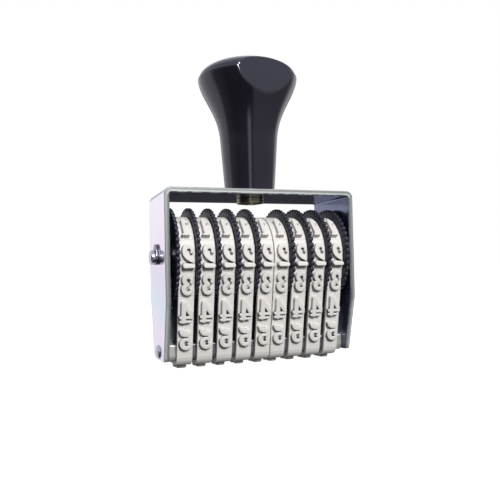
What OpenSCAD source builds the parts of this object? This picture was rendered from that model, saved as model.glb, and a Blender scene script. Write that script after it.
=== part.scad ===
// Hand numbering stamp. Nine rubber figure bands are each looped over a thumb wheel and
// under a steel bed, in a bent sheet bracket that hangs from a round handle.
// Millimetres. Z = 0 is the printing face of the type, X runs along the axle, -Y is the front.

/* [Figure bands] */
// Width of one rubber band
band_w = 4.35; // [3.9:0.05:6]
// Thickness of a band between its type
band_t = 1.0; // [0.8:0.05:1.4]
// Height of the type above the band
type_h = 1.1; // [0.6:0.05:1.6]
// Width of one type block, across the band
type_w = 3.6; // [2.4:0.1:3.8]
// Length of a type block at its printing face, along the band
type_len = 5.0; // [3.5:0.1:5.4]
// Length of the plain splice between two type blocks of a band
splice_len = 5.3; // [3:0.1:7]

/* [Thumb wheels] */
// Radius of the knurled flange
flange_r = 13.8; // [13:0.1:15]
// Thickness of the knurled flange
flange_t = 1.0; // [0.8:0.05:1.6]
// Height of one knurl bump
bump_h = 0.5; // [0.2:0.05:0.7]
// Number of knurl bumps on a flange
bump_count = 48; // [36:1:60]
// Radius of the drum over the tips of its drive teeth
drum_r = 10.0; // [9:0.1:10.4]
// Height of the drive teeth on the drum
tooth_h = 0.7; // [0.3:0.05:1.2]
// Number of drive teeth on the drum
tooth_count = 20; // [14:1:28]
// Radius of the shallow recess in the outer face of a flange
recess_r = 8.5; // [7:0.1:9]
// Depth of that recess
recess_h = 0.25; // [0.1:0.05:0.4]
// Radius of the raised boss that is left round the bore
boss_r = 4.6; // [4:0.1:6]

/* [Axle] */
// Radius of the axle
axle_r = 2.0; // [1.6:0.05:2.6]
// Height of the axle above the printing face
axle_z = 30.7; // [29:0.1:36]
// Length of axle that stands out of the bracket at each end
axle_stub = 2.0; // [1.6:0.1:4]
// Thickness of a retaining clip
clip_t = 0.6; // [0.4:0.05:0.8]
// Outer radius of a retaining clip
clip_r = 3.65; // [3.4:0.05:5]
// Thickness of the thrust washer at each end of the wheel stack
thrust_t = 1.0; // [0.6:0.05:2]
// Outer radius of a thrust washer
thrust_r = 5.5; // [4:0.1:8]

/* [Type bed] */
// Depth of the bed, front to back
bed_d = 10.1; // [8.6:0.1:12]
// Height of the bed
bed_h = 4.7; // [4.3:0.1:6]
// Radius of the two lower edges that the bands bend round
bed_nose_r = 1.85; // [1.2:0.05:2]
// Thickness of the comb that stands on the bed, inside the loops of the bands
comb_t = 1.6; // [1:0.1:3]
// Free height between the comb and the wheels above it
comb_gap = 0.7; // [0.5:0.1:2]
// Free width between a tooth of the comb and a flange on each side
comb_side = 0.4; // [0.3:0.05:0.8]
// Radius of the shank of a bed rivet
rivet_r = 1.4; // [1:0.05:1.5]
// Radius of the head of a bed rivet
rivet_head_r = 2.0; // [1.8:0.05:2.4]
// Height of the head of a bed rivet
rivet_head_h = 0.8; // [0.4:0.05:1.2]
// Length of rivet shank inside the bed
rivet_grip = 5; // [3:0.5:10]

/* [Bracket] */
// Thickness of the sheet
sheet_t = 1.5; // [1:0.05:2]
// Depth of the bracket, front to back
bracket_d = 22.8; // [18:0.1:26]
// Depth of a side plate at its foot
foot_d = 15.0; // [12:0.1:17]
// Height of the tapered lower part of a side plate
taper_h = 16.0; // [10:0.5:22]
// Radius of the corners of the foot
foot_r = 1.6; // [0.6:0.1:3]
// Inside radius of the two bends
bend_r = 0.5; // [0.3:0.1:2]
// Height of the foot of the side plates above the underside of the bed
foot_lift = 0.35; // [0.1:0.05:1]
// Free height between the flanges and the underside of the top plate
head_room = 3.0; // [2.8:0.1:8]

/* [Handle] */
// Radius of the stem where it stands on the bracket
stem_r = 7.22; // [5.5:0.02:9]
// Growth of the stem's radius over each millimetre of height
stem_flare = 0.075; // [0:0.005:0.1]
// Height at which the stem starts to swell into the head
swell_z = 15.0; // [8:0.5:20]
// Height of the ridge, where the head is widest
ridge_z = 33.6; // [28:0.2:44]
// Radius of the head at its ridge
head_r = 14.6; // [12:0.1:18]
// Height of the dome above the ridge
dome_h = 5.4; // [3:0.1:9]
// Distance of the flat facet from the handle's axis
facet_y = 11.7; // [10.5:0.1:13]
// Backward lean of the facet, in degrees
facet_lean = 3; // [0:0.5:10]
// Turn of the facet about the handle's axis, in degrees
facet_turn = 7; // [-180:1:180]

/* [Handle screw] */
// Radius of the screw's shank
screw_r = 2.0; // [1.5:0.05:2.5]
// Radius of the screw's head
screw_head_r = 3.95; // [3.4:0.05:5]
// Height of the screw's head
screw_head_h = 1.5; // [1.2:0.05:1.8]
// Length of screw inside the handle
screw_grip = 14; // [8:0.5:20]
// Thickness of the spring washer
lock_t = 0.6; // [0.4:0.05:0.8]
// Width of the screwdriver slot
slot_w = 1.0; // [0.6:0.05:1.4]
// Depth of the screwdriver slot
slot_h = 0.8; // [0.4:0.05:1]

/* [Clearances] */
// Radial play of a wheel, washer or bracket hole on its shaft
run_fit = 0.05; // [0.02:0.01:0.09]
// Gap between faces that seat on each other
seat_gap = 0.02; // [0.01:0.01:0.05]
// Gap between the bed and the band that is drawn round it
bed_gap = 0.05; // [0.03:0.01:0.1]
// Gap between a drum and the band that runs over it
drum_gap = 0.3; // [0.2:0.05:0.5]
// Gap between a band and the flange or drum end on each side
side_gap = 0.075; // [0.05:0.005:0.3]
// Play between two wheels
wheel_play = 0.1; // [0.05:0.01:0.2]
// Play between the wheel stack and a thrust washer
end_play = 0.13; // [0.05:0.01:0.3]

/* [Hidden] */
$fn = 72;
wheel_count = 9;
// wheels 1 to 5 have their flange on the left, the rest on the right
left_count = 5;
// blocks that carry type on the front and on the back of a band, next to the printing block
front_type = 5;
back_type = 4;
pad_count = 13;

slot_len = flange_t + band_w + 2 * side_gap;
pitch = slot_len + wheel_play;
stack_w = wheel_count * pitch - wheel_play;
inner_w = stack_w + 2 * (thrust_t + end_play + seat_gap);
outer_w = inner_w + 2 * sheet_t;

band_low_z = type_h;
bed_z = band_low_z + band_t + bed_gap;
foot_z = bed_z + foot_lift;
under_z = axle_z + flange_r + head_room;
top_z = under_z + sheet_t;
rivet_z = bed_z + bed_h / 2;
bed_top_z = bed_z + bed_h;
comb_top_z = axle_z - drum_r - comb_gap;
comb_root_z = axle_z - flange_r - comb_gap;

// the band's path: two nose arcs under the bed, two straight runs, one arc over the drum
nose_y = bed_d / 2 - bed_nose_r;
nose_z = bed_z + bed_nose_r;
nose_in_r = bed_nose_r + bed_gap;
loop_in_r = drum_r + drum_gap;
centre_len = norm([nose_y, axle_z - nose_z]);
run_tilt = asin((loop_in_r - nose_in_r) / centre_len) - atan(nose_y / (axle_z - nose_z));
run_len = sqrt(pow(centre_len, 2) - pow(loop_in_r - nose_in_r, 2));
nose_len = (nose_in_r + band_t / 2) * (90 - run_tilt) * PI / 180;
drum_len = (loop_in_r + band_t / 2) * (180 + 2 * run_tilt) * PI / 180;
loop_len = 2 * (nose_y + nose_len + run_len) + drum_len;
pad_pitch = (loop_len - splice_len) / pad_count;
type_draft = 0.7;
type_sink = 0.6;

groove_r = axle_r - 0.4;
groove_w = clip_t + 0.1;
axle_chamfer = 0.4;
axle_len = outer_w + 2 * axle_stub;
eps = 0.5;

bracket_color = [0.80, 0.77, 0.82];
steel_color = [0.62, 0.64, 0.64];
zinc_color = [0.78, 0.72, 0.52];
wheel_color = [0.09, 0.08, 0.11];
band_color = [0.84, 0.82, 0.80];
handle_color = [0.03, 0.03, 0.04];

// points along an arc about [cx, cy], from angle a0 to angle a1
function arc(cx, cy, r, a0, a1, steps) =
    [for (i = [0:steps]) let (a = a0 + (a1 - a0) * i / steps) [cx + r * cos(a), cy + r * sin(a)]];

// the closed loop of a band at a distance off outside its inner face, in the Y-Z plane
function loop_outline(off) = concat(
    arc(-nose_y, nose_z, nose_in_r + off, 180 + run_tilt, 270, 8),
    arc(nose_y, nose_z, nose_in_r + off, 270, 360 - run_tilt, 8),
    arc(0, axle_z, loop_in_r + off, -run_tilt, 180 + run_tilt, 40));

// place and outward angle of the band's outer face at s along the band, from the middle of
// the printing face up the front
function face_at(s) = let (
        nose_end = nose_y + nose_len,
        run_end = nose_end + run_len,
        nose_out = nose_in_r + band_t,
        drum_out = loop_in_r + band_t,
        a_nose = 270 - (s - nose_y) / (nose_in_r + band_t / 2) * 180 / PI,
        a_run = 180 + run_tilt,
        a_drum = a_run - (s - run_end) / (loop_in_r + band_t / 2) * 180 / PI)
    s < nose_y ? [-s, band_low_z, 270] :
    s < nose_end ? [-nose_y + nose_out * cos(a_nose), nose_z + nose_out * sin(a_nose), a_nose] :
    s < run_end ? [-nose_y + nose_out * cos(a_run) - (s - nose_end) * sin(run_tilt),
        nose_z + nose_out * sin(a_run) + (s - nose_end) * cos(run_tilt), a_run] :
    [drum_out * cos(a_drum), axle_z + drum_out * sin(a_drum), a_drum];

// stands a Y-Z outline up along X
module along_x(len) {
    rotate([90, 0, 90])
        linear_extrude(len)
            children();
}

module bracket_section() {
    low = foot_z;
    out_r = bend_r + sheet_t;
    polygon(concat(
        [[-outer_w / 2, low]],
        arc(-outer_w / 2 + out_r, top_z - out_r, out_r, 180, 90, 8),
        arc(outer_w / 2 - out_r, top_z - out_r, out_r, 90, 0, 8),
        [[outer_w / 2, low], [inner_w / 2, low]],
        arc(inner_w / 2 - bend_r, under_z - bend_r, bend_r, 0, 90, 6),
        arc(-inner_w / 2 + bend_r, under_z - bend_r, bend_r, 90, 180, 6),
        [[-inner_w / 2, low]]));
}

module bracket_side() {
    foot_y = foot_d / 2 - foot_r;
    polygon(concat(
        arc(-foot_y, foot_z + foot_r, foot_r, 180, 270, 6),
        arc(foot_y, foot_z + foot_r, foot_r, 270, 360, 6),
        [[bracket_d / 2, foot_z + taper_h], [bracket_d / 2, top_z + eps],
            [-bracket_d / 2, top_z + eps], [-bracket_d / 2, foot_z + taper_h]]));
}

module bracket() {
    color(bracket_color)
        difference() {
            intersection() {
                rotate([90, 0, 0])
                    linear_extrude(bracket_d + 2 * eps, center = true)
                        bracket_section();
                translate([-outer_w / 2 - eps, 0, 0])
                    along_x(outer_w + 2 * eps)
                        bracket_side();
            }
            translate([-outer_w / 2 - eps, 0, axle_z])
                rotate([0, 90, 0])
                    cylinder(r = axle_r + run_fit, h = outer_w + 2 * eps);
            translate([-outer_w / 2 - eps, 0, rivet_z])
                rotate([0, 90, 0])
                    cylinder(r = rivet_r + seat_gap, h = outer_w + 2 * eps);
            translate([0, 0, under_z - eps])
                cylinder(r = screw_r + run_fit, h = sheet_t + 2 * eps);
        }
}

// radius of the handle at a height z below its ridge: a tapered stem and a smooth swell
function swell(t) = let (u = pow(t, 1.35)) 3 * u * u - 2 * u * u * u;
function stem_at(z) = stem_r + stem_flare * z;
function handle_at(z) = z <= swell_z ? stem_at(z) :
    stem_at(z) + (head_r - stem_at(ridge_z)) * swell((z - swell_z) / (ridge_z - swell_z));

module handle_profile() {
    swell_steps = 12;
    dome_steps = 12;
    rim = 0.3;
    dome_r = head_r - rim;
    polygon(concat(
        [[0, 0], [stem_at(0), 0]],
        [for (i = [0:swell_steps]) let (z = swell_z + (ridge_z - swell_z) * i / swell_steps)
            [handle_at(z), z]],
        [for (i = [0:dome_steps]) let (a = 90 * i / dome_steps)
            [dome_r * cos(a), ridge_z + rim + (dome_h - rim) * sin(a)]]));
}

module handle() {
    color(handle_color)
        translate([0, 0, top_z + seat_gap])
            difference() {
                rotate_extrude($fn = 96)
                    handle_profile();
                rotate([0, 0, facet_turn])
                    translate([0, -facet_y, ridge_z])
                        rotate([-facet_lean, 0, 0])
                            translate([-head_r, -head_r, -ridge_z])
                                cube([2 * head_r, head_r, 2 * ridge_z]);
                translate([0, 0, -eps])
                    cylinder(r = screw_r + seat_gap, h = screw_grip + 1 + eps);
            }
}

module handle_screw() {
    head_top = under_z - lock_t - 2 * seat_gap;
    color(zinc_color)
        difference() {
            union() {
                translate([0, 0, head_top - screw_head_h])
                    cylinder(r = screw_head_r, h = screw_head_h);
                translate([0, 0, head_top - eps])
                    cylinder(r = screw_r, h = top_z + screw_grip - head_top + eps);
            }
            translate([-slot_w / 2, -screw_head_r - eps, head_top - screw_head_h - eps])
                cube([slot_w, 2 * (screw_head_r + eps), slot_h + eps]);
        }
}

module lock_washer() {
    split_w = 0.5;
    color(zinc_color)
        translate([0, 0, under_z - seat_gap - lock_t])
            difference() {
                cylinder(r = screw_head_r, h = lock_t);
                translate([0, 0, -eps])
                    cylinder(r = screw_r + run_fit, h = lock_t + 2 * eps);
                translate([0, -split_w / 2, -eps])
                    cube([screw_head_r + eps, split_w, lock_t + 2 * eps]);
            }
}

module axle() {
    half = axle_len / 2;
    groove_in = outer_w / 2 + seat_gap;
    color(steel_color)
        translate([0, 0, axle_z])
            rotate([0, 90, 0])
                rotate_extrude()
                    polygon([
                        [0, -half], [axle_r - axle_chamfer, -half], [axle_r, -half + axle_chamfer],
                        [axle_r, -groove_in - groove_w], [groove_r, -groove_in - groove_w],
                        [groove_r, -groove_in], [axle_r, -groove_in],
                        [axle_r, groove_in], [groove_r, groove_in],
                        [groove_r, groove_in + groove_w], [axle_r, groove_in + groove_w],
                        [axle_r, half - axle_chamfer], [axle_r - axle_chamfer, half], [0, half]]);
}

// three-lobed retaining clip, its mouth downwards, standing out along X
module e_clip() {
    mouth = groove_r * 0.8;
    relief_r = (clip_r - groove_r) * 0.4;
    color(steel_color)
        along_x(clip_t)
            difference() {
                circle(r = clip_r);
                circle(r = groove_r + seat_gap);
                translate([-mouth, -clip_r - eps])
                    square([2 * mouth, clip_r + eps]);
                for (side = [-1, 1])
                    translate([side * (groove_r + relief_r * 0.8), 0])
                        circle(r = relief_r, $fn = 24);
            }
}

module e_clip_left() {
    translate([-outer_w / 2 - 2 * seat_gap, 0, axle_z])
        mirror([1, 0, 0])
            e_clip();
}

module e_clip_right() {
    translate([outer_w / 2 + 2 * seat_gap, 0, axle_z])
        e_clip();
}

module thrust_washer() {
    color(steel_color)
        along_x(thrust_t)
            difference() {
                circle(r = thrust_r);
                circle(r = axle_r + run_fit);
            }
}

module thrust_washer_left() {
    translate([-inner_w / 2 + seat_gap, 0, axle_z])
        thrust_washer();
}

module thrust_washer_right() {
    translate([inner_w / 2 - seat_gap - thrust_t, 0, axle_z])
        thrust_washer();
}

// room for one flange in the comb, from x0 to x1
module comb_slot(x0, x1) {
    translate([x0, -comb_t / 2 - eps, comb_root_z])
        cube([x1 - x0, comb_t + 2 * eps, comb_top_z - comb_root_z + eps]);
}

module type_bed() {
    len = inner_w - 2 * seat_gap;
    top_r = 0.4;
    color(steel_color)
        difference() {
            translate([-len / 2, 0, 0])
                along_x(len)
                    polygon(concat(
                        arc(-nose_y, nose_z, bed_nose_r, 180, 270, 8),
                        arc(nose_y, nose_z, bed_nose_r, 270, 360, 8),
                        arc(bed_d / 2 - top_r, bed_top_z - top_r, top_r, 0, 90, 3),
                        [[comb_t / 2, bed_top_z], [comb_t / 2, comb_top_z],
                            [-comb_t / 2, comb_top_z], [-comb_t / 2, bed_top_z]],
                        arc(-bed_d / 2 + top_r, bed_top_z - top_r, top_r, 90, 180, 3)));
            for (k = [1:wheel_count])
                comb_slot(k == 1 ? -len / 2 - eps : flange_x(k) - comb_side,
                    k == wheel_count ? len / 2 + eps : flange_x(k) + flange_t + comb_side);
            for (side = [-1, 1])
                translate([side * (len / 2 - rivet_grip / 2 + eps), 0, rivet_z])
                    rotate([0, 90, 0])
                        cylinder(r = rivet_r + seat_gap, h = rivet_grip + 1 + 2 * eps, center = true);
        }
}

// domed rivet through the right side plate into the end of the bed
module bed_rivet() {
    steps = 6;
    shank = sheet_t + seat_gap + rivet_grip;
    color(steel_color)
        translate([outer_w / 2 + seat_gap, 0, rivet_z])
            rotate([0, 90, 0])
                rotate_extrude($fn = 48)
                    polygon(concat(
                        [[0, -shank], [rivet_r, -shank], [rivet_r, 0]],
                        [for (i = [0:steps]) let (a = 90 * i / steps)
                            [rivet_head_r * cos(a), rivet_head_h * sin(a)]]));
}

module bed_rivet_left() {
    mirror([1, 0, 0])
        bed_rivet();
}

module bed_rivet_right() {
    bed_rivet();
}

// left end of the room that wheel k takes on the axle
function slot_x(k) = -stack_w / 2 + (k - 1) * pitch;

// left face of the flange of wheel k
function flange_x(k) = slot_x(k) + (k <= left_count ? 0 : slot_len - flange_t);

// a ring of count equal steps; each step holds the points [share of the step, radius]
function ring(count, shape) =
    [for (i = [0:count - 1]) for (p = shape) let (a = 360 * (i + p[0]) / count)
        [p[1] * cos(a), p[1] * sin(a)]];

// a thumb wheel whose outer face lies at X = 0 and whose drum reaches towards +X
module wheel_body() {
    shoulder = flange_r - bump_h * 0.12;
    knurl = ring(bump_count, [[0, flange_r - bump_h], [0.22, shoulder],
        [0.5, flange_r], [0.78, shoulder]]);
    teeth = ring(tooth_count, [[0, drum_r], [0.4, drum_r],
        [0.5, drum_r - tooth_h], [0.9, drum_r - tooth_h]]);
    color(wheel_color)
        difference() {
            union() {
                along_x(flange_t)
                    polygon(knurl);
                along_x(slot_len)
                    polygon(teeth);
            }
            translate([-eps, 0, 0])
                along_x(slot_len + 2 * eps)
                    circle(r = axle_r + run_fit);
            translate([-eps, 0, 0])
                along_x(eps + recess_h)
                    difference() {
                        circle(r = recess_r);
                        circle(r = boss_r);
                    }
        }
}

module number_wheel(k) {
    if (k <= left_count)
        translate([slot_x(k), 0, axle_z])
            wheel_body();
    else
        translate([slot_x(k) + slot_len, 0, axle_z])
            mirror([1, 0, 0])
                wheel_body();
}

// side view of the raised type: one block on the bed, the rest up the front and up the back
module type_blocks() {
    first = 0.5 * pad_pitch + splice_len + 0.5 * pad_pitch;
    front = [for (i = [0:front_type - 1]) face_at(first + i * pad_pitch)];
    back = [for (i = [0:back_type]) face_at(i * pad_pitch)];
    base = type_len + 2 * type_draft;
    places = concat(front, [for (p = back) [-p[0], p[1], 180 - p[2]]]);
    for (p = places)
        translate([p[0], p[1]])
            rotate(p[2] - 90)
                polygon([[-base / 2, -type_sink], [base / 2, -type_sink],
                    [base / 2, 0], [type_len / 2, type_h],
                    [-type_len / 2, type_h], [-base / 2, 0]]);
}

module number_band(k) {
    x = slot_x(k) + (k <= left_count ? flange_t : 0) + side_gap;
    color(band_color)
        translate([x, 0, 0]) {
            difference() {
                along_x(band_w)
                    polygon(loop_outline(band_t));
                translate([-eps, 0, 0])
                    along_x(band_w + 2 * eps)
                        polygon(loop_outline(0));
            }
            translate([(band_w - type_w) / 2, 0, 0])
                along_x(type_w)
                    type_blocks();
        }
}

bracket();
handle();
handle_screw();
lock_washer();
axle();
e_clip_left();
e_clip_right();
thrust_washer_left();
thrust_washer_right();
type_bed();
bed_rivet_left();
bed_rivet_right();
number_wheel(1);  // number_wheel_1
number_wheel(2);  // number_wheel_2
number_wheel(3);  // number_wheel_3
number_wheel(4);  // number_wheel_4
number_wheel(5);  // number_wheel_5
number_wheel(6);  // number_wheel_6
number_wheel(7);  // number_wheel_7
number_wheel(8);  // number_wheel_8
number_wheel(9);  // number_wheel_9
number_band(1);  // number_band_1
number_band(2);  // number_band_2
number_band(3);  // number_band_3
number_band(4);  // number_band_4
number_band(5);  // number_band_5
number_band(6);  // number_band_6
number_band(7);  // number_band_7
number_band(8);  // number_band_8
number_band(9);  // number_band_9
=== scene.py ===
import math

import bpy
import numpy as np
from mathutils import Matrix, Vector


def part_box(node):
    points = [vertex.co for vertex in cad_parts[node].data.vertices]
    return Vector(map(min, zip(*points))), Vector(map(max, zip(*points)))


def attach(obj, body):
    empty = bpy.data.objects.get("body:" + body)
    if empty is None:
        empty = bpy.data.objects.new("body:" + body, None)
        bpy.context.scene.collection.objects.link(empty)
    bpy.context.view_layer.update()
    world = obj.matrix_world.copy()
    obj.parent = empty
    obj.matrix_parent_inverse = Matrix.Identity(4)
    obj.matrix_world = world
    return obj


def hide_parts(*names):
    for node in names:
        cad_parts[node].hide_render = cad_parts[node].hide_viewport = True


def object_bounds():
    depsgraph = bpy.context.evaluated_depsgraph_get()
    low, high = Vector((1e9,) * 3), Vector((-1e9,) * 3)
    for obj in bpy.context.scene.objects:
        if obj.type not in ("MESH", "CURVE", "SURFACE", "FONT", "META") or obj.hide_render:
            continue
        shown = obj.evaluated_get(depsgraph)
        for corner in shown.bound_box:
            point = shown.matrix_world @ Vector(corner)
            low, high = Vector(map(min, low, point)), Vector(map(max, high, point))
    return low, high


bl_info = {
    "name": "Band numbering stamp",
    "version": (1, 0, 0),
    "blender": (4, 5, 0),
    "location": "View3D > Sidebar > Numbering stamp",
    "description": "Nine figure bands over thumb wheels, in a bracket under a moulded handle",
    "category": "Object",
}

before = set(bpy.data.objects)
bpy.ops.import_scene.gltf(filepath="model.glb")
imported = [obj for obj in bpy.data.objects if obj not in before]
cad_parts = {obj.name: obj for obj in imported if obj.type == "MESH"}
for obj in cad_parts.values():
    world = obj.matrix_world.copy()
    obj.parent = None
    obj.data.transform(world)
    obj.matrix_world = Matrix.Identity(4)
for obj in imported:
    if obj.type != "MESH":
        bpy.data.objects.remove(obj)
cad_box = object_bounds()

MM = 0.001
WHEEL_COUNT = 9
BODY = "frame"

BRACKET_LO, BRACKET_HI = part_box("bracket")
HANDLE_LO, HANDLE_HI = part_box("handle")
AXLE_LO, AXLE_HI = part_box("axle")
BED_LO, BED_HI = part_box("type_bed")
AXLE_Z = (AXLE_LO[2] + AXLE_HI[2]) / 2
AXLE_R = (AXLE_HI[2] - AXLE_LO[2]) / 2


# ---------------------------------------------------------------- sizes and colours

def length(name, description, millimetres):
    """A size that the sidebar shows in the scene's length unit."""
    return bpy.props.FloatProperty(
        name=name, description=description, default=millimetres * MM,
        unit="LENGTH", subtype="DISTANCE", precision=5)


def angle(name, description, degrees):
    """An angle, given in degrees and kept in radians."""
    return bpy.props.FloatProperty(
        name=name, description=description, default=math.radians(degrees), subtype="ANGLE")


def count(name, description, number):
    """A whole number of parts that repeat."""
    return bpy.props.IntProperty(name=name, description=description, default=number, min=1)


def factor(name, description, share):
    """A share from 0 to 1."""
    return bpy.props.FloatProperty(
        name=name, description=description, default=share, min=0, max=1, subtype="FACTOR")


def amount(name, description, value):
    """A plain number that may be more than 1."""
    return bpy.props.FloatProperty(name=name, description=description, default=value, min=0)


def colour(name, description, red, green, blue):
    """A colour, its three parts linear."""
    return bpy.props.FloatVectorProperty(
        name=name, description=description, default=(red, green, blue),
        size=3, min=0, max=1, subtype="COLOR")


class BracketSettings(bpy.types.PropertyGroup):
    sheet: length("Sheet", "Thickness of the sheet", 1.5)
    bend: length("Bend", "Inside radius of the two bends", 0.5)
    foot_depth: length("Foot depth", "Depth of a side plate at its foot", 15.0)
    taper: length("Taper", "Height of the tapered lower part of a side plate", 16.0)
    foot_radius: length("Foot radius", "Radius of the corners of the foot", 1.6)
    burr: length("Edge radius", "Radius of the sheet's broken edges", 0.34)
    pink: colour("Pink plate", "Zinc plate where it shines pink", 0.78, 0.66, 0.76)
    blue: colour("Blue plate", "Zinc plate where it shines blue", 0.50, 0.60, 0.68)
    lilac: colour("Lilac plate", "Zinc plate where it shines lilac", 0.61, 0.54, 0.66)
    # Painted shade: this darker colour on the inside of the bends stands in for the shade there.
    inside: colour("Inside", "Plate on the inner side of the bends", 0.165, 0.18, 0.29)
    cut: colour("Cut edge", "Sheared edge of the sheet", 0.25, 0.268, 0.26)


class HandleSettings(bpy.types.PropertyGroup):
    stem: length("Stem", "Radius of the stem where it stands on the bracket", 7.22)
    flare: factor("Flare", "Growth of the stem's radius for each unit of height", 0.075)
    foot: length("Foot", "Radius of the rounded edge of the stem's foot", 0.4)
    swell: length("Swell", "Height at which the stem starts to swell into the head", 15.0)
    swell_power: amount("Swell power", "Above 1, the stem swells later and then faster", 1.35)
    ridge: length("Ridge", "Height of the ridge, where the head is widest", 33.6)
    rim: length("Rim", "Width of the broken edge at the ridge", 0.3)
    facet: length("Facet", "Distance of the flat facet from the handle's axis", 11.7)
    facet_lean: angle("Facet lean", "Backward lean of the facet", 3)
    facet_turn: angle("Facet turn", "Turn of the facet from the front", 7)
    facet_edge: length("Facet edge", "Width over which the facet's edge is rounded", 0.32)
    facet_wear: length("Facet wear", "Reach of the wear on both sides of the facet's edge", 0.25)
    seam: length("Moulding line", "Height of the fine line across the facet", 0.010)
    seam_width: length("Moulding line width", "Half the width of that line", 0.07)
    gloss: colour("Plastic", "Black moulded plastic", 0.011, 0.010, 0.016)


class WheelSettings(bpy.types.PropertyGroup):
    flange: length("Flange", "Thickness of the knurled flange", 1.0)
    bump: length("Bump", "Height of one knurl bump", 0.5)
    pinch: factor("Pinch", "Share of the flange's thickness that is lost in a notch", 0.6)
    bumps: count("Bumps", "Number of knurl bumps on a flange", 48)
    bump_power: amount("Bump power", "Above 2, the bumps are flatter and the notches sharper", 2.4)
    knurl: length("Knurl", "Depth of the ring that the knurl reaches into", 1.3)
    edge: length("Edge", "Cut of the wheel's corners where they are rounded", 0.13)
    drum: length("Drum", "Radius of the drum over its drive teeth", 10.0)
    tooth: length("Tooth", "Height of a drive tooth", 0.7)
    teeth: count("Teeth", "Number of drive teeth", 20)
    recess: length("Recess", "Radius of the recess in the flange's outer face", 8.5)
    recess_depth: length("Recess depth", "Depth of that recess", 0.25)
    boss: length("Boss", "Radius of the boss round the bore", 4.6)
    bore: length("Bore", "Radius of the bore", 2.05)
    plastic: colour("Plastic", "Black plastic of the wheels", 0.009, 0.009, 0.017)
    wear_and_glint: colour("Worn plastic", "Plastic on the tips of the knurl", 0.022, 0.020, 0.030)


class BandSettings(bpy.types.PropertyGroup):
    thickness: length("Thickness", "Thickness of a band between its type", 1.0)
    relief: length("Relief", "Height of the type above the band", 1.1)
    face_width: length("Figure width", "Width between the outer strokes of a figure", 2.3)
    face_height: length("Figure height", "Height between the outer strokes of a figure", 5.0)
    figure_drop: length("Figure drop", "Distance of a figure below its block's middle", 0.30)
    stem: length("Stem", "Half the width of a thick stroke", 0.30)
    shoulder: length("Shoulder", "Width of the shoulder beside a stroke", 0.40)
    slope_drop: factor("Shoulder drop", "Share of the relief that the shoulder falls", 0.04)
    wall: length("Wall", "Width of the steep wall below the shoulder", 0.26)
    side_wall: length("Side wall", "Width over which type falls at a band's side", 0.30)
    end_wall: length("End wall", "Width over which type falls at its block's ends", 0.15)
    cut_depth: length("Cut depth", "Depth of the fine cut between two blocks", 0.07)
    cut_width: length("Cut width", "Half the width of that cut", 0.09)
    crease: length("Crease", "Distance of the splice's crease from its upper end", 2.2)
    crease_depth: length("Crease depth", "Depth of that crease", 0.06)
    shut_in: length("Shut in", "Radius within which relief shuts a point in", 0.50)
    # Painted shade: the place beyond which the painted shade under the type's edges falls to a
    # quarter.
    wiped: length("Faded", "Place along a band beyond which the stain is wiped off", 37.8)
    splice: length("Splice", "Length of the plain splice", 4.6)
    pads: count("Blocks", "Number of type places on a band", 13)
    bed_gap: length("Bed gap", "Gap between the bed and a band", 0.05)
    drum_gap: length("Drum gap", "Gap between a drum and its band", 0.3)
    nose: length("Bed nose", "Radius of the bed's lower edges", 1.85)
    edge: length("Band edge", "Radius of a band's outer edges", 0.14)
    rubber: colour("Rubber", "Warm grey rubber", 0.67, 0.645, 0.62)
    # Painted shade: this darker rubber colour low between the figures is also the base of the
    # painted shade under their edges and in shut-in hollows.
    groove: colour("Groove", "Rubber low between the figures", 0.60, 0.58, 0.56)


class MetalSettings(bpy.types.PropertyGroup):
    screw_shank: length("Screw shank", "Radius of the handle screw's shank", 2.0)
    head_dome: length("Head dome", "Height of the dome of the screw's head", 0.7)
    head_lift: length("Head lift", "Distance of the dome's crown from the lowest point", 0.3)
    slot_width: length("Slot width", "Width of the screwdriver slot", 1.0)
    slot_depth: length("Slot depth", "Depth of the screwdriver slot", 0.8)
    washer_split: length("Washer split", "Width of the spring washer's split", 0.5)
    groove: length("Clip groove", "Depth of the axle's clip groove", 0.4)
    rivet_shank: length("Rivet shank", "Radius of the shank of a bed rivet", 1.4)
    chamfer: length("Chamfer", "Chamfer of the axle's ends", 0.4)
    bed_height: length("Bed height", "Height of the bed's bar", 4.7)
    bar_edge: length("Bar edge", "Radius of the bar's top edges", 0.4)
    # Painted glint: its share on the bar's top edges in their left half.
    left_glint: factor("Edge wear", "Shine of the bar's top edges in their left half", 0.2)
    comb: length("Comb", "Thickness of the comb on the bed", 1.6)
    comb_depth: length("Comb depth", "Depth of the comb's slots", 3.8)
    comb_side: length("Comb side", "Free width beside a tooth of the comb", 0.4)
    burr: length("Burr", "Radius of the broken edges of the bed and its comb", 0.15)
    steel: colour("Steel", "Bright turned steel", 0.46, 0.46, 0.51)
    spring: colour("Spring steel", "Dark spring steel of the clips", 0.20, 0.19, 0.22)
    bed: colour("Bed steel", "Grey-green plate of the type bed", 0.42, 0.43, 0.39)
    zinc: colour("Yellow zinc", "Yellow zinc plate of the screw", 0.34, 0.30, 0.19)


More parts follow.
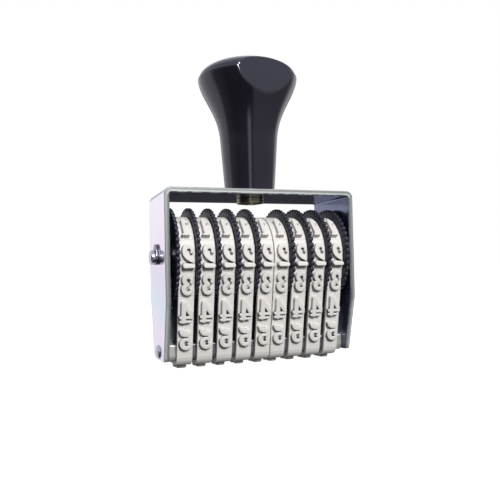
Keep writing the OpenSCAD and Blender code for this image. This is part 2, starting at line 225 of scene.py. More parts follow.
class StageSettings(bpy.types.PropertyGroup):
    view_turn: angle("View turn", "Turn of the camera about the upright axis", -19.54)
    view_rise: angle("View rise", "Rise of the camera above the level", -1.79)
    view_roll: angle("View roll", "Roll of the camera", -1.30)
    view_distance: length("View distance", "Distance from camera to target", 169.6)
    target_x: length("Target X", "Place of the camera's target along the axle", -0.35)
    target_z: length("Target Z", "Height of the camera's target", 32.47)
    focal: length("Focal length", "Focal length on a sensor 36 mm wide", 41.57)
    floor_size: length("Floor", "Side of the square floor", 6000)
    floor_drop: length("Floor drop", "Depth of the floor under the type", 0.05)
    lamp_turn: angle("Lamp turn", "Turn of the lamp from the camera", 24)
    lamp_rise: angle("Lamp rise", "Rise of the lamp above the level", 27)
    lamp_distance: length("Lamp distance", "Distance of the lamp from the stamp's middle", 700)
    lamp_size: length("Lamp size", "Side of the lamp's square panel", 200)
    lamp_level: amount("Lamp level", "What the lamp adds to a white surface square to it", 1.20)
    ambient: factor("Ambient", "Level of the light that comes from all round", 0.30)
    rear: factor("Rear light", "Level of the soft light from behind", 0.90)
    floor_colour: colour("Floor", "Colour of the floor", 0.60, 0.60, 0.60)
    backdrop: colour("Backdrop", "Colour of the backdrop", 1.0, 1.0, 1.0)


# ---------------------------------------------------------------- surfaces

def grid_quads(rows, columns, wrap_rows, wrap_columns):
    """Faces of a grid of points: each point joins its next row and its next column, and a
    wrapped side joins its last to its first."""
    i = np.arange(rows if wrap_rows else rows - 1)[:, None]
    j = np.arange(columns if wrap_columns else columns - 1)[None, :]
    next_i = (i + 1) % rows
    next_j = (j + 1) % columns
    corners = (i * columns + j, next_i * columns + j,
               next_i * columns + next_j, i * columns + next_j)
    return np.stack(np.broadcast_arrays(*corners), axis=-1).reshape(-1, 4)


def fan(ring, hub):
    """Triangles from each side of a closed ring of points to one hub point."""
    return np.stack([ring, np.roll(ring, -1), np.full_like(ring, hub)], axis=-1)


def volume(points, faces):
    """Signed volume inside a closed set of faces: a sixth of the sum of the box products of
    the corners of each triangle."""
    a, b, c = (points[faces[:, k]] for k in (0, 1, 2))
    total = np.einsum("ij,ij->", a, np.cross(b, c))
    if faces.shape[1] == 4:
        total += np.einsum("ij,ij->", a, np.cross(c, points[faces[:, 3]]))
    return total / 6


def shell(grid, wrap_rows=False):
    """A closed shell over a grid of points whose columns wrap. Rows that don't wrap are shut
    at both ends by fans about their mean points. Faces are turned to look outwards."""
    rows, columns = grid.shape[:2]
    points = grid.reshape(-1, 3)
    groups = [grid_quads(rows, columns, wrap_rows, True)]
    if not wrap_rows:
        ring = np.arange(columns)
        hubs = np.stack([grid[0].mean(axis=0), grid[-1].mean(axis=0)])
        last = (rows - 1) * columns + ring
        groups.append(np.concatenate([fan(ring, len(points)), fan(last[::-1], len(points) + 1)]))
        points = np.concatenate([points, hubs])
    if sum(volume(points, group) for group in groups) < 0:
        groups = [group[:, ::-1] for group in groups]
    return points, groups


def piece(name, shells, node, material, attributes=None, body=BODY, crease=35):
    """One mesh object from closed shells, riding on a body in place of a CAD node. An
    attribute holds one number for each point."""
    points = np.concatenate([part[0] for part in shells])
    faces = []
    start = 0
    for part, groups in shells:
        for group in groups:
            faces += (group + start).tolist()
        start += len(part)
    mesh = bpy.data.meshes.new(name)
    mesh.from_pydata(points.tolist(), [], faces)
    for label, values in (attributes or {}).items():
        layer = mesh.attributes.new(label, "FLOAT", "POINT")
        layer.data.foreach_set("value", np.asarray(values, dtype=np.float32).ravel())
    mesh.polygons.foreach_set("use_smooth", [True] * len(mesh.polygons))
    mesh.set_sharp_from_angle(angle=math.radians(crease))
    mesh.materials.append(material)
    made = bpy.data.objects.new(name, mesh)
    bpy.context.scene.collection.objects.link(made)
    weighted = made.modifiers.new("Face weighted normals", "WEIGHTED_NORMAL")
    weighted.keep_sharp = True
    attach(made, body)
    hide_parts(node)
    return made


def with_hubs(values):
    """The numbers of a grid's points followed by those of its two end hubs."""
    return np.concatenate([values.ravel(), [values[0].mean(), values[-1].mean()]])


def rounded(corners, cut, steps=3):
    """A closed outline whose corners are cut back along both sides and joined again by a
    quadratic curve that has the corner as its control point."""
    corners = np.asarray(corners, dtype=float)
    to_last = np.roll(corners, 1, axis=0) - corners
    to_next = np.roll(corners, -1, axis=0) - corners
    last_len = np.linalg.norm(to_last, axis=1, keepdims=True)
    next_len = np.linalg.norm(to_next, axis=1, keepdims=True)
    reach = np.minimum(cut, 0.45 * np.minimum(last_len, next_len))
    begin = corners + to_last / last_len * reach
    finish = corners + to_next / next_len * reach
    t = np.linspace(0, 1, steps + 1)[None, :, None]
    curve = ((1 - t) ** 2 * begin[:, None] + 2 * t * (1 - t) * corners[:, None]
             + t ** 2 * finish[:, None])
    return curve.reshape(-1, 2)


def turned(profile, angles, height=AXLE_Z):
    """A profile of (distance along X, radius) carried round the level axis at a height."""
    along, radius = profile[..., 0], profile[..., 1]
    return np.stack([along + 0 * angles, radius * np.cos(angles),
                     height + radius * np.sin(angles)], axis=-1)


def full_turn(steps):
    """Angles in equal steps round a full turn, the last one short of the first."""
    return np.linspace(0, 2 * np.pi, steps, endpoint=False)


def turned_shell(corners, cut, height=AXLE_Z, steps=96, ring=False):
    """A turned part about a level axis: a ring, or a solid whose first and last corners lie
    on the axis and are left out. The other corners are rounded."""
    profile = rounded(corners, cut)
    if not ring:
        per_corner = len(profile) // len(corners)
        profile = profile[per_corner:-per_corner]
    return shell(turned(profile[:, None], full_turn(steps)[None, :], height), wrap_rows=ring)


def prism(outline, low, high, cut, place, stations=()):
    """An outline drawn along a third direction from low to high, with further stations in
    between. At both ends it shrinks towards its middle by the cut, on a quarter circle.
    place turns (u, v, w) into X, Y, Z."""
    middle = outline.mean(axis=0)
    out = outline - middle
    size = np.abs(out).max(axis=0)
    a = np.linspace(0, np.pi / 2, 4)
    inset = cut * (1 - np.sin(a))
    rise = cut * (1 - np.cos(a))
    inset = np.concatenate([inset, 0 * np.asarray(stations), inset[::-1]])
    w = np.concatenate([low + rise, stations, high - rise[::-1]])
    flat = middle + out[None] * (1 - inset[:, None, None] / size)
    return shell(place(flat[..., 0], flat[..., 1], w[:, None] + 0 * flat[..., 0]))


def along_axle(u, v, w):
    """An outline in Y and Z, drawn along X."""
    return np.stack([w, u, v], axis=-1)


def smooth_step(t):
    """0 below 0, 1 above 1, and between them three squares less two cubes."""
    t = np.clip(t, 0, 1)
    return t * t * (3 - 2 * t)


def between(t, ends, soft):
    """1 between two ends and 0 outside them, over a soft step."""
    return smooth_step((t - ends[0]) / soft) * smooth_step((ends[1] - t) / soft)


def corner_inset(rise, radius):
    """How far a quarter circle stays back from the corner that it rounds, at a height above
    its foot: the radius less the height of the arc, and 0 above the arc."""
    below = np.clip(radius - rise, 0, None)
    return radius - np.sqrt(np.clip(radius ** 2 - below ** 2, 0, None))


def soft_min(a, b, width):
    """The smaller of two distances, blended by a parabola where they are nearly equal."""
    blend = np.maximum(width - np.abs(a - b), 0) / width
    return np.minimum(a, b) - blend * blend * width / 4


# ---------------------------------------------------------------- bracket

def bracket_path(s):
    """Stations along the left half of the sheet's middle line, from the foot up, round the
    bend and to the middle of the top: X, Z, outward normal, half depth and inset. The depth
    follows the foot's corner arc and the taper, and the inset is a quarter circle that breaks
    the edge of the foot."""
    low, top = BRACKET_LO[2], BRACKET_HI[2]
    side_x = BRACKET_LO[0] + s.sheet / 2
    bend_out = s.bend + s.sheet
    bend_mid = s.bend + s.sheet / 2
    a = np.linspace(0, np.pi / 2, 14)
    foot = low + s.foot_radius * (1 - np.cos(a))
    straight = np.linspace(low + s.foot_radius + MM, top - bend_out, 34)
    straight = np.sort(np.append(straight, low + s.taper))
    z_side = np.concatenate([foot, straight])
    turn = np.linspace(0, np.pi / 2, 12)[1:]
    x_bend = BRACKET_LO[0] + bend_out - bend_mid * np.cos(turn)
    z_bend = top - bend_out + bend_mid * np.sin(turn)
    x_top = np.linspace(x_bend[-1], 0, 24)[1:]
    x = np.concatenate([side_x + 0 * z_side, x_bend, x_top])
    z = np.concatenate([z_side, z_bend, z_bend[-1] + 0 * x_top])
    tilt = np.concatenate([0 * z_side, turn, np.pi / 2 + 0 * x_top])
    normal = np.stack([-np.cos(tilt), np.sin(tilt)], axis=-1)
    rise = z - low
    full = BRACKET_HI[1]
    corner = s.foot_depth / 2 - corner_inset(rise, s.foot_radius)
    taper = s.foot_depth / 2 + (full - s.foot_depth / 2) * np.clip(
        (rise - s.foot_radius) / (s.taper - s.foot_radius), 0, 1)
    half = np.where(rise < s.foot_radius, corner, taper)
    return x, z, normal, half, corner_inset(rise, s.burr)


def build_bracket(s, material):
    """A rounded rectangle, thin across the sheet and deep from front to back, carried along
    the bent path. cut is 1 on the sheared edges, and inner is 1 on the inside of the bends.
    through runs from 0 on the outside of the sheet to 1 on the inside."""
    x, z, normal, half, inset = bracket_path(s)
    x = np.concatenate([x, -x[-2::-1]])
    z = np.concatenate([z, z[-2::-1]])
    normal = np.concatenate([normal, normal[-2::-1] * (-1, 1)])
    half = np.concatenate([half, half[-2::-1]])
    inset = np.concatenate([inset, inset[-2::-1]])
    a = np.linspace(0, np.pi / 2, 5)
    phi = np.concatenate([a + quarter * np.pi / 2 for quarter in range(4)])
    out_sign = np.repeat([1, -1, -1, 1], len(a))
    back_sign = np.repeat([1, 1, -1, -1], len(a))
    across = out_sign * (s.sheet / 2 - s.burr - inset[:, None]) + s.burr * np.cos(phi)
    depth = back_sign * (half - s.burr - inset)[:, None] + s.burr * np.sin(phi)
    grid = np.stack([x[:, None] + normal[:, :1] * across, depth,
                     z[:, None] + normal[:, 1:] * across], axis=-1)
    cut = np.broadcast_to(np.sin(phi) ** 2, depth.shape)
    inner = np.broadcast_to((1 - np.cos(phi)) / 2, depth.shape)
    through = 0.5 - across / s.sheet
    masks = {"cut": with_hubs(cut), "inner": with_hubs(inner), "through": with_hubs(through)}
    piece("sheet_bracket", [shell(grid)], "bracket", material, masks)


# ---------------------------------------------------------------- handle

def handle_profile(s):
    """Height and radius from the base up: a rounded foot, a tapered stem, a smooth swell to
    the ridge, a broken edge, and an elliptical dome."""
    ridge_r = HANDLE_HI[0]
    dome = HANDLE_HI[2] - HANDLE_LO[2] - s.ridge - s.rim
    a = np.linspace(0, np.pi / 2, 5)
    foot_z = s.foot * (1 - np.cos(a))
    facet_low = s.ridge - 9 * MM
    z = np.concatenate([foot_z, np.linspace(s.foot, s.swell, 16)[1:],
                        np.linspace(s.swell, facet_low, 24)[1:],
                        np.linspace(facet_low, s.ridge, 66)[1:]])
    stem = s.stem + s.flare * z
    swollen = smooth_step(np.clip((z - s.swell) / (s.ridge - s.swell), 0, 1) ** s.swell_power)
    r = stem + (ridge_r - s.stem - s.flare * s.ridge) * swollen
    r -= corner_inset(z, s.foot)
    rim = np.linspace(0, np.pi / 2, 6)[1:-1]
    rim_r = ridge_r - s.rim * (1 - np.cos(rim))
    rim_z = s.ridge + s.rim * np.sin(rim)
    b = np.radians(np.concatenate([np.linspace(0, 48, 52), np.linspace(48, 89, 22)[1:]]))
    dome_r = (ridge_r - s.rim) * np.cos(b)
    dome_z = s.ridge + s.rim + dome * np.sin(b)
    return np.concatenate([z, rim_z, dome_z]), np.concatenate([r, rim_r, dome_r])


def build_handle(s, material):
    """The profile turned about the upright axis, then drawn in to the facet: at each height
    and angle the radius is the soft minimum of the profile and the way to the facet's plane.
    A fine moulding line crosses the facet at the ridge."""
    z, r = handle_profile(s)
    facet_at = -np.pi / 2 + s.facet_turn
    facet_half = 44
    near = np.radians(np.linspace(-facet_half, facet_half, 197))
    far = np.radians(np.linspace(facet_half, 360 - facet_half, 113))[1:-1]
    theta = np.concatenate([near, far]) + facet_at
    toward = np.cos(theta - facet_at)
    plane = s.facet - (z - s.ridge) * np.tan(s.facet_lean)
    sideways = 0.05
    reach = np.where(toward > sideways, plane[:, None] / np.maximum(toward, sideways), 1)
    seam = s.seam * np.exp(-((z - s.ridge) / s.seam_width) ** 2)
    radius = soft_min(r[:, None], reach - seam[:, None], s.facet_edge)
    edge = np.exp(-((r[:, None] - reach) / s.facet_wear) ** 2)
    grid = np.stack([radius * np.cos(theta), radius * np.sin(theta),
                     HANDLE_LO[2] + z[:, None] + 0 * radius], axis=-1)
    piece("moulded_handle", [shell(grid)], "handle", material,
          {"edge": with_hubs(edge)})


# ---------------------------------------------------------------- axle, clips, bed and screw

def build_axle(s, material):
    """A turned bar with a groove for a clip and a chamfer at each end. Its outline from the
    middle to the right end is mirrored for the left end."""
    half = AXLE_HI[0]
    groove_in = -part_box("e_clip_left")[1][0]
    groove_out = -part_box("e_clip_left")[0][0]
    neck = AXLE_R - s.groove
    right = [(groove_in, AXLE_R), (groove_in, neck), (groove_out, neck), (groove_out, AXLE_R),
             (half - s.chamfer, AXLE_R), (half, AXLE_R - s.chamfer), (half, 0)]
    left = [(-along, across) for along, across in right[::-1]]
    piece("turned_axle", [turned_shell(left + right, 0.05 * MM)], "axle", material)


def build_washer(name, node, material):
    """A flat ring on the axle, its section a rectangle with broken corners."""
    low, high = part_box(node)
    outer = (high[2] - low[2]) / 2
    corners = [(low[0], AXLE_R), (low[0], outer), (high[0], outer), (high[0], AXLE_R)]
    piece(name, [turned_shell(corners, 0.12 * MM, ring=True)], node, material)


def build_rivet(name, node, side, s, material):
    """A round shank and a head that is half an ellipse, on the left (-1) or the right (1)."""
    low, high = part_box(node)
    middle = (low[2] + high[2]) / 2
    head_r = (high[2] - low[2]) / 2
    tail, tip = (high[0], low[0]) if side < 0 else (low[0], high[0])
    seat = side * BRACKET_HI[0]
    a = np.linspace(0, np.pi / 2, 12)[:-1]
    dome = np.stack([seat + (tip - seat) * np.sin(a), head_r * np.cos(a)], axis=-1)
    profile = np.concatenate([[(tail, s.rivet_shank), (seat, s.rivet_shank)], dome])
    grid = turned(profile[:, None], full_turn(72)[None, :], middle)
    piece(name, [shell(grid)], node, material)


def build_clip(name, node, s, material):
    """A retaining clip: a ring sector whose ends are the two parallel sides of its mouth, and
    whose outer edge stands up to a tip. Its inner edge is the axle's groove, opened by a
    round relief on each side. Mouth, side and relief are shares of the neck and the tip."""
    low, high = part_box(node)
    tip = (high[1] - low[1]) / 2
    side = 0.66 * tip
    neck = AXLE_R - s.groove
    mouth = 0.8 * neck
    relief = 0.4 * (side - neck)
    relief_at = neck + 0.8 * relief
    share = np.linspace(0, 1, 181)[:, None]
    section = rounded([(0, 0), (1, 0), (1, 1), (0, 1)], 0.1)
    sweep = np.abs(np.cos(share * 2 * np.pi - np.pi / 2))
    off_level = np.sqrt(1 - sweep ** 2)
    bulge = relief ** 2 - (relief_at * off_level) ** 2
    lobe = relief_at * sweep + np.sqrt(np.clip(bulge, 0, None))
    inner = np.where(bulge > 0, np.maximum(lobe, neck), neck)
    outer = side + (tip - side) * np.clip(-np.cos(share * 2 * np.pi), 0, 1) ** 2
    radius = inner + (outer - inner) * section[:, 0]
    open_angle = np.arcsin(np.clip(mouth / radius, 0, 1))
    theta = -np.pi / 2 + open_angle + share * (2 * np.pi - 2 * open_angle)
    x = low[0] + (high[0] - low[0]) * section[:, 1]
    grid = np.stack([x + 0 * theta, radius * np.cos(theta), AXLE_Z + radius * np.sin(theta)],
                    axis=-1)
    piece(name, [shell(grid)], node, material)


def flange_on_left(k):
    """Whether wheel k has its flange on its left side, as the wheels up to the middle one do."""
    return k <= (WHEEL_COUNT + 1) // 2


def comb_teeth(flange, s):
    """Left and right end of each tooth of the comb: the way between two flanges, less the free
    width on both sides."""
    boxes = [(k, *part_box(f"number_wheel_{k}")) for k in range(1, WHEEL_COUNT + 1)]
    flange_x = [low[0] if flange_on_left(k) else high[0] - flange for k, low, high in boxes]
    return [(here + flange + s.comb_side, after - s.comb_side)
            for here, after in zip(flange_x[:-1], flange_x[1:])]


def build_bed(nose, flange, s, material):
    """The bed's side view drawn along the axle: two wide nose arcs below, two small ones along
    the bar's top edges, and the comb up the middle with its teeth between the flanges. dark
    is 1 on the comb and less on the bar under the bands, and paints shade there.
    wear_and_glint is high on the bar's top edges and grows from the middle to the right end,
    and paints a glint there."""
    half = BED_HI[1]
    a = np.linspace(0, np.pi / 2, 14)
    b = np.linspace(0, np.pi / 2, 5)
    right_low = np.stack([half - nose + nose * np.sin(a), BED_LO[2] + nose - nose * np.cos(a)], -1)
    bar_top = BED_LO[2] + s.bed_height
    right_top = np.stack([half - s.bar_edge + s.bar_edge * np.cos(b),
                          bar_top - s.bar_edge + s.bar_edge * np.sin(b)], -1)
    root = BED_HI[2] - s.comb_depth
    web = [(s.comb / 2, bar_top), (s.comb / 2, bar_top + s.burr), (s.comb / 2, root - s.burr),
           (s.comb / 2 - s.burr, root)]
    right = np.concatenate([right_low, right_top, web])
    outline = np.concatenate([right, right[::-1] * (-1, 1)])
    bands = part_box("number_band_1")[0][0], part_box(f"number_band_{WHEEL_COUNT}")[1][0]
    shells = [prism(outline, BED_LO[0], BED_HI[0], s.burr, along_axle,
                    np.linspace(bands[0], bands[1], 60))]
    side = np.array([(s.comb / 2, root - s.burr), (s.comb / 2, BED_HI[2] - s.burr),
                     (s.comb / 2 - s.burr, BED_HI[2])])
    tooth = np.concatenate([side, side[::-1] * (-1, 1)])
    shells += [prism(tooth, start, end, s.burr, along_axle)
               for start, end in comb_teeth(flange, s)]
    points = np.concatenate([part[0] for part in shells])
    above = points[:, 2] - bar_top
    under_bands = 0.85
    # Painted shade: the comb, and less so the bar between the bands, are darkened.
    dark = np.maximum(smooth_step(above / s.bar_edge),
                      under_bands * between(points[:, 0], bands, MM))
    # Painted glint: a white top edge on the bar, weak at the left end and full at the right end.
    wear_and_glint = smooth_step((above + s.bar_edge) / (s.bar_edge / 2)) * (above < s.burr / 2)
    wear_and_glint *= s.left_glint + (1 - s.left_glint) * smooth_step(points[:, 0] / BED_HI[0])
    piece("type_bar", shells, "type_bed", material, {"dark": dark, "wear_and_glint": wear_and_glint})


def build_screw(s, material):
    """A shank and a domed head. The head is a thin disc over two circle segments that leave
    the slot between them. Rings shrink over each segment towards its flat side, and their
    height above the lowest point grows with the square of the radius. Disc and shank are
    turned about X and then swapped onto Z, and each reaches a little into the next."""
    low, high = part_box("handle_screw")
    head_r = high[0]
    washer_gap, lap, disc_edge, tip_edge = 0.02 * MM, 0.1 * MM, 0.05 * MM, 0.3 * MM
    head_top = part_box("lock_washer")[0][2] - washer_gap
    floor_z = low[2] + s.slot_depth
    x_to_z = np.array([[0, 0, 1], [0, 1, 0], [1, 0, 0]])
    disc_low, shank_low = floor_z - lap / 2, head_top - lap
    disc = turned_shell([(disc_low, 0), (disc_low, head_r), (head_top, head_r), (head_top, 0)],
                        disc_edge, height=0)
    shank = turned_shell([(shank_low, 0), (shank_low, s.screw_shank),
                          (high[2], s.screw_shank), (high[2], 0)], tip_edge, height=0)
    shells = [(points @ x_to_z, groups) for points, groups in (disc, shank)]
    wall = s.slot_width / 2
    reach = np.arccos(wall / head_r)
    a = np.linspace(-reach, reach, 40)
    size = np.cos(np.linspace(0, np.pi / 2, 10))[:-1, None]
    for side in (-1, 1):
        u = side * (wall + size * (head_r * np.cos(a) - wall))
        v = size * head_r * np.sin(a)
        z = low[2] + s.head_lift + s.head_dome * (u ** 2 + v ** 2) / head_r ** 2
        dome = np.stack([u, v, z], axis=-1)
        foot = dome[:1] * (1, 1, 0) + (0, 0, floor_z)
        shells.append(shell(np.concatenate([foot, dome])))
    piece("slotted_screw", shells, "handle_screw", material)


def build_lock_washer(s, material):
    """A split ring of rectangular section about the screw, its ends parallel to the split."""
    low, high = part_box("lock_washer")
    section = rounded([(s.screw_shank, low[2]), (high[0], low[2]),
                       (high[0], high[2]), (s.screw_shank, high[2])], 0.08 * MM)
    gap = np.arcsin(s.washer_split / 2 / section[:, 0])
    share = np.linspace(0, 1, 97)[:, None]
    theta = gap + share * (2 * np.pi - 2 * gap)
    grid = np.stack([section[:, 0] * np.cos(theta), section[:, 0] * np.sin(theta),
                     section[:, 1] + 0 * theta], axis=-1)
    piece("spring_washer", [shell(grid)], "lock_washer", material)


# ---------------------------------------------------------------- thumb wheels

def build_wheels(s, material):
    """A closed profile of (distance from the flange's outer face, radius) carried round the
    axle. On the rim the radius drops to a sharp notch at each end of a bump, as a power of
    the way from its middle, and there the flange grows thin as well. On the drum the radius
    steps between tooth tip and root. tip is 1 on top of a bump."""
    low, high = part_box("number_wheel_1")
    rim = (high[2] - low[2]) / 2
    width = high[0] - low[0]
    inside = rim - s.knurl
    corners = [(0, s.bore), (0, s.boss), (s.recess_depth, s.boss), (s.recess_depth, s.recess),
               (0, s.recess), (0, inside), (0, rim), (s.flange, rim), (s.flange, inside),
               (s.flange, s.drum), (width, s.drum), (width, s.bore)]
    profile = rounded(corners, s.edge)
    along, radius = profile[:, :1], profile[:, 1:]
    theta = full_turn(8 * s.bumps)
    notch = np.abs(2 * ((theta * s.bumps / (2 * np.pi)) % 1) - 1) ** s.bump_power
    tooth_share = (theta * s.teeth / (2 * np.pi)) % 1
    root = s.tooth * between(tooth_share, (0.4, 1), 0.1)
    slack = 0.05 * MM
    lip = 0.2 * MM
    on_rim = smooth_step((radius - inside - lip) / (4 * lip))
    on_drum = (radius > s.drum - lip) & (along > s.flange + slack)
    thin = np.where(along < s.flange + slack, s.pinch * on_rim, 0) * notch
    along = along + thin * (s.flange / 2 - along)
    radius = radius - on_rim * s.bump * notch - on_drum * root
    tip = on_rim * (1 - notch) + 0 * radius
    for k in range(1, WHEEL_COUNT + 1):
        node = f"number_wheel_{k}"
        low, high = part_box(node)
        x = low[0] + along if flange_on_left(k) else high[0] - along
        grid = np.stack([x + 0 * radius, radius * np.cos(theta),
                         AXLE_Z + radius * np.sin(theta)], axis=-1)
        piece(f"thumb_wheel_{k}", [shell(grid, wrap_rows=True)], node, material,
              {"tip": tip}, body=f"wheel_{k}", crease=50)


# ---------------------------------------------------------------- figures

def ball(x, y, size):
    """A stroke so short that it is round."""
    return [(x, y, size), (x, y + 0.001, size)]


def oval(x, y, half_width, half_height):
    """A closed stroke round an oval, its width 0.1 above and below and 0.7 at its sides."""
    turn = np.linspace(0, 2 * np.pi, 17)
    return [(x + half_width * math.cos(a), y + half_height * math.sin(a),
             0.1 + 0.6 * math.cos(a) ** 2) for a in turn]


def turned_over(strokes):
    """A figure turned half round in its own plane."""
    return [[(1 - x, 1 - y, size) for x, y, size in stroke] for stroke in strokes]


# each figure is a list of strokes, and each stroke a list of points on its middle line:
# share of the figure's width, share of its height, and width as a share of a thick stroke;
# a width below 0 leaves only the shoulder, so the stroke lies a little under the face
SIX = [[(0.86, 0.82, 0.10), (0.72, 0.93, 0.20), (0.50, 0.96, 0.30), (0.20, 0.84, 0.60),
        (0.04, 0.55, 0.80), (0.08, 0.24, 0.70), (0.28, 0.05, 0.30), (0.54, 0.02, 0.20),
        (0.86, 0.12, 0.50), (0.97, 0.30, 0.70), (0.86, 0.48, 0.50), (0.56, 0.58, 0.20),
        (0.28, 0.53, 0.10), (0.10, 0.42, 0.10)], ball(0.86, 0.78, 0.30)]
FIGURES = {
    "0": [oval(0.5, 0.49, 0.48, 0.47)],
    "1": [[(0.60, 0.02, 0.5), (0.60, 0.94, 0.5)], [(0.28, -0.02, -0.3), (0.92, -0.02, -0.3)],
          [(0.58, 0.94, 0.2), (0.40, 0.85, 0.1), (0.20, 0.81, 0.0)]],
    "2": [[(-0.02, 0.72, 0.10), (0.11, 0.86, 0.40), (0.43, 0.91, 0.70), (0.76, 0.86, 0.80),
           (0.87, 0.71, 0.85), (0.85, 0.56, 0.70), (0.67, 0.43, 0.50), (0.37, 0.32, 0.30),
           (0.04, 0.24, 0.15)], ball(0.02, 0.65, 0.10),
          [(-0.10, -0.01, 0.45), (0.50, 0.00, 0.55), (0.84, 0.01, 0.80)]],
    "3": [[(-0.02, 0.70, 0.10), (0.13, 0.86, 0.40), (0.43, 0.92, 0.70), (0.76, 0.87, 0.75),
           (0.87, 0.73, 0.75), (0.76, 0.58, 0.60), (0.43, 0.49, 0.15)],
          [(0.43, 0.49, 0.15), (0.80, 0.38, 0.60), (0.91, 0.25, 0.80), (0.78, 0.09, 0.70),
           (0.43, 0.01, 0.50), (0.13, 0.06, 0.40), (-0.02, 0.17, 0.20)],
          ball(0.04, 0.62, 0.10), ball(0.04, 0.23, 0.15)],
    "4": [[(0.85, -0.01, 0.8), (0.85, 0.95, 0.8)], [(0.80, 0.93, 0.6), (-0.04, 0.34, 0.6)],
          [(-0.13, 0.195, 0.0), (1.20, 0.195, 0.0)], [(0.10, -0.03, -0.3), (1.20, -0.03, -0.3)]],
    "5": [[(0.17, 0.77, 0.70), (0.57, 0.76, 0.75), (0.91, 0.81, 0.60), (1.07, 0.91, 0.40)],
          [(0.15, 0.77, 0.0), (0.13, 0.42, 0.0)],
          [(0.15, 0.41, -0.10), (0.43, 0.486, 0.0), (0.78, 0.44, 0.30), (0.97, 0.27, 0.80),
           (0.78, 0.08, 0.70), (0.43, 0.01, 0.45), (0.13, 0.06, 0.30), (-0.02, 0.17, 0.20)],
          ball(0.10, 0.25, 0.25)],
    "6": SIX,
    "7": [[(0.04, 0.88, 0.45), (0.45, 0.88, 0.60), (0.92, 0.92, 0.40)],
          [(0.04, 0.90, 0.10), (0.02, 0.74, 0.05)],
          [(0.94, 0.92, 0.20), (0.68, 0.62, 0.25), (0.48, 0.35, 0.50), (0.44, 0.05, 0.80)]],
    "8": [oval(0.5, 0.76, 0.38, 0.19), oval(0.5, 0.26, 0.46, 0.25)],
    "9": turned_over(SIX),
}


def smooth_stroke(knots, steps=6):
    """Points along a stroke: cubic pieces through its knots, each leaving along the line
    between the knots on its two sides."""
    p = np.asarray(knots, dtype=float)
    p = np.concatenate([2 * p[:1] - p[1:2], p, 2 * p[-1:] - p[-2:-1]])
    before, here, after, beyond = p[:-3, None], p[1:-2, None], p[2:-1, None], p[3:, None]
    t = np.linspace(0, 1, steps, endpoint=False)[None, :, None]
    curve = (here + 0.5 * t * (after - before)
             + t ** 2 * (before - 2.5 * here + 2 * after - 0.5 * beyond)
             + t ** 3 * (1.5 * (here - after) + 0.5 * (beyond - before)))
    return np.concatenate([curve.reshape(-1, 3), p[-2:-1]])


def figure_distance(figure, x, y, s):
    """Distance of each point from the edge of a figure, negative inside it: the least, over
    the short pieces of its strokes, of the distance to a piece less half its width there."""
    scale = np.array([s.face_width, s.face_height, s.stem])
    nearest = np.full(x.shape, np.inf)
    for stroke in FIGURES[figure]:
        knots = smooth_stroke(stroke) * scale
        a, b = knots[:-1], knots[1:]
        run = b[:, :2] - a[:, :2]
        from_a = np.stack([x, y], axis=-1)[..., None, :] - a[:, :2]
        share = np.clip((from_a * run).sum(-1) / np.maximum((run ** 2).sum(-1), 1e-12), 0, 1)
        gap = np.linalg.norm(from_a - share[..., None] * run, axis=-1)
        edge = gap - (a[:, 2] + share * (b[:, 2] - a[:, 2]))
        nearest = np.minimum(nearest, edge.min(axis=-1))
    return nearest


# ---------------------------------------------------------------- figure bands

class BandLoop:
    """The closed path of a band: half of the flat under the bed, a nose arc, a straight run,
    and half of the drum arc, then the same again mirrored. s is measured along the middle of
    the band's thickness, from the middle of the printing face up the front."""

    def __init__(self, s, drum):
        self.thickness = s.thickness
        self.nose_y = BED_HI[1] - s.nose
        self.nose_z = BED_LO[2] + s.nose
        self.nose_r = s.nose + s.bed_gap
        self.drum_r = drum + s.drum_gap
        rise = AXLE_Z - self.nose_z
        apart = math.hypot(self.nose_y, rise)
        growth = self.drum_r - self.nose_r
        self.tilt = math.asin(growth / apart) - math.atan(self.nose_y / rise)
        self.run = math.sqrt(apart ** 2 - growth ** 2)
        self.nose_end = self.nose_y + (self.nose_r + s.thickness / 2) * (math.pi / 2 - self.tilt)
        self.run_end = self.nose_end + self.run
        half_drum = (self.drum_r + s.thickness / 2) * (math.pi / 2 + self.tilt)
        self.length = 2 * (self.run_end + half_drum)
        self.pad_pitch = (self.length - s.splice) / s.pads

    def place(self, s, off):
        """Y, Z and outward normal at s, a distance off outside the band's inner face. a is the
        normal's angle from +Y towards +Z: it points down on the flat, turns with each arc and
        stays the same on the run."""
        s = s % self.length
        front = s <= self.length / 2
        s = np.where(front, s, self.length - s)
        middle = self.thickness / 2
        nose_a = 1.5 * np.pi - (s - self.nose_y) / (self.nose_r + middle)
        run_a = np.pi + self.tilt
        drum_a = run_a - (s - self.run_end) / (self.drum_r + middle)
        part = [s < self.nose_y, s < self.nose_end, s < self.run_end]
        a = np.select(part, [1.5 * np.pi + 0 * s, nose_a, run_a + 0 * s], drum_a)
        slide = np.select(part, [0 * s, 0 * s, s - self.nose_end], 0)
        radius = np.where(s < self.run_end, self.nose_r, self.drum_r) + off
        hub_y = np.select(part, [-s, -self.nose_y + 0 * s, -self.nose_y + 0 * s], 0)
        hub_z = np.where(s < self.run_end, self.nose_z, AXLE_Z)
        y = hub_y + radius * np.cos(a) - slide * math.sin(self.tilt)
        z = hub_z + radius * np.sin(a) + slide * math.cos(self.tilt)
        side = np.where(front, 1, -1)
        return y * side, z, np.cos(a) * side, np.sin(a)


def figure_places(loop, s):
    """Each figure's place along the band: 6 on the printing face, 5 to 1 beyond the splice
    up the front, and 7, 8, 9 and 0 the other way up the back."""
    first = loop.pad_pitch + s.splice
    front = {str(5 - i): first + i * loop.pad_pitch for i in range(5)}
    back = {str((6 + i) % 10): -i * loop.pad_pitch for i in range(5)}
    return front | back


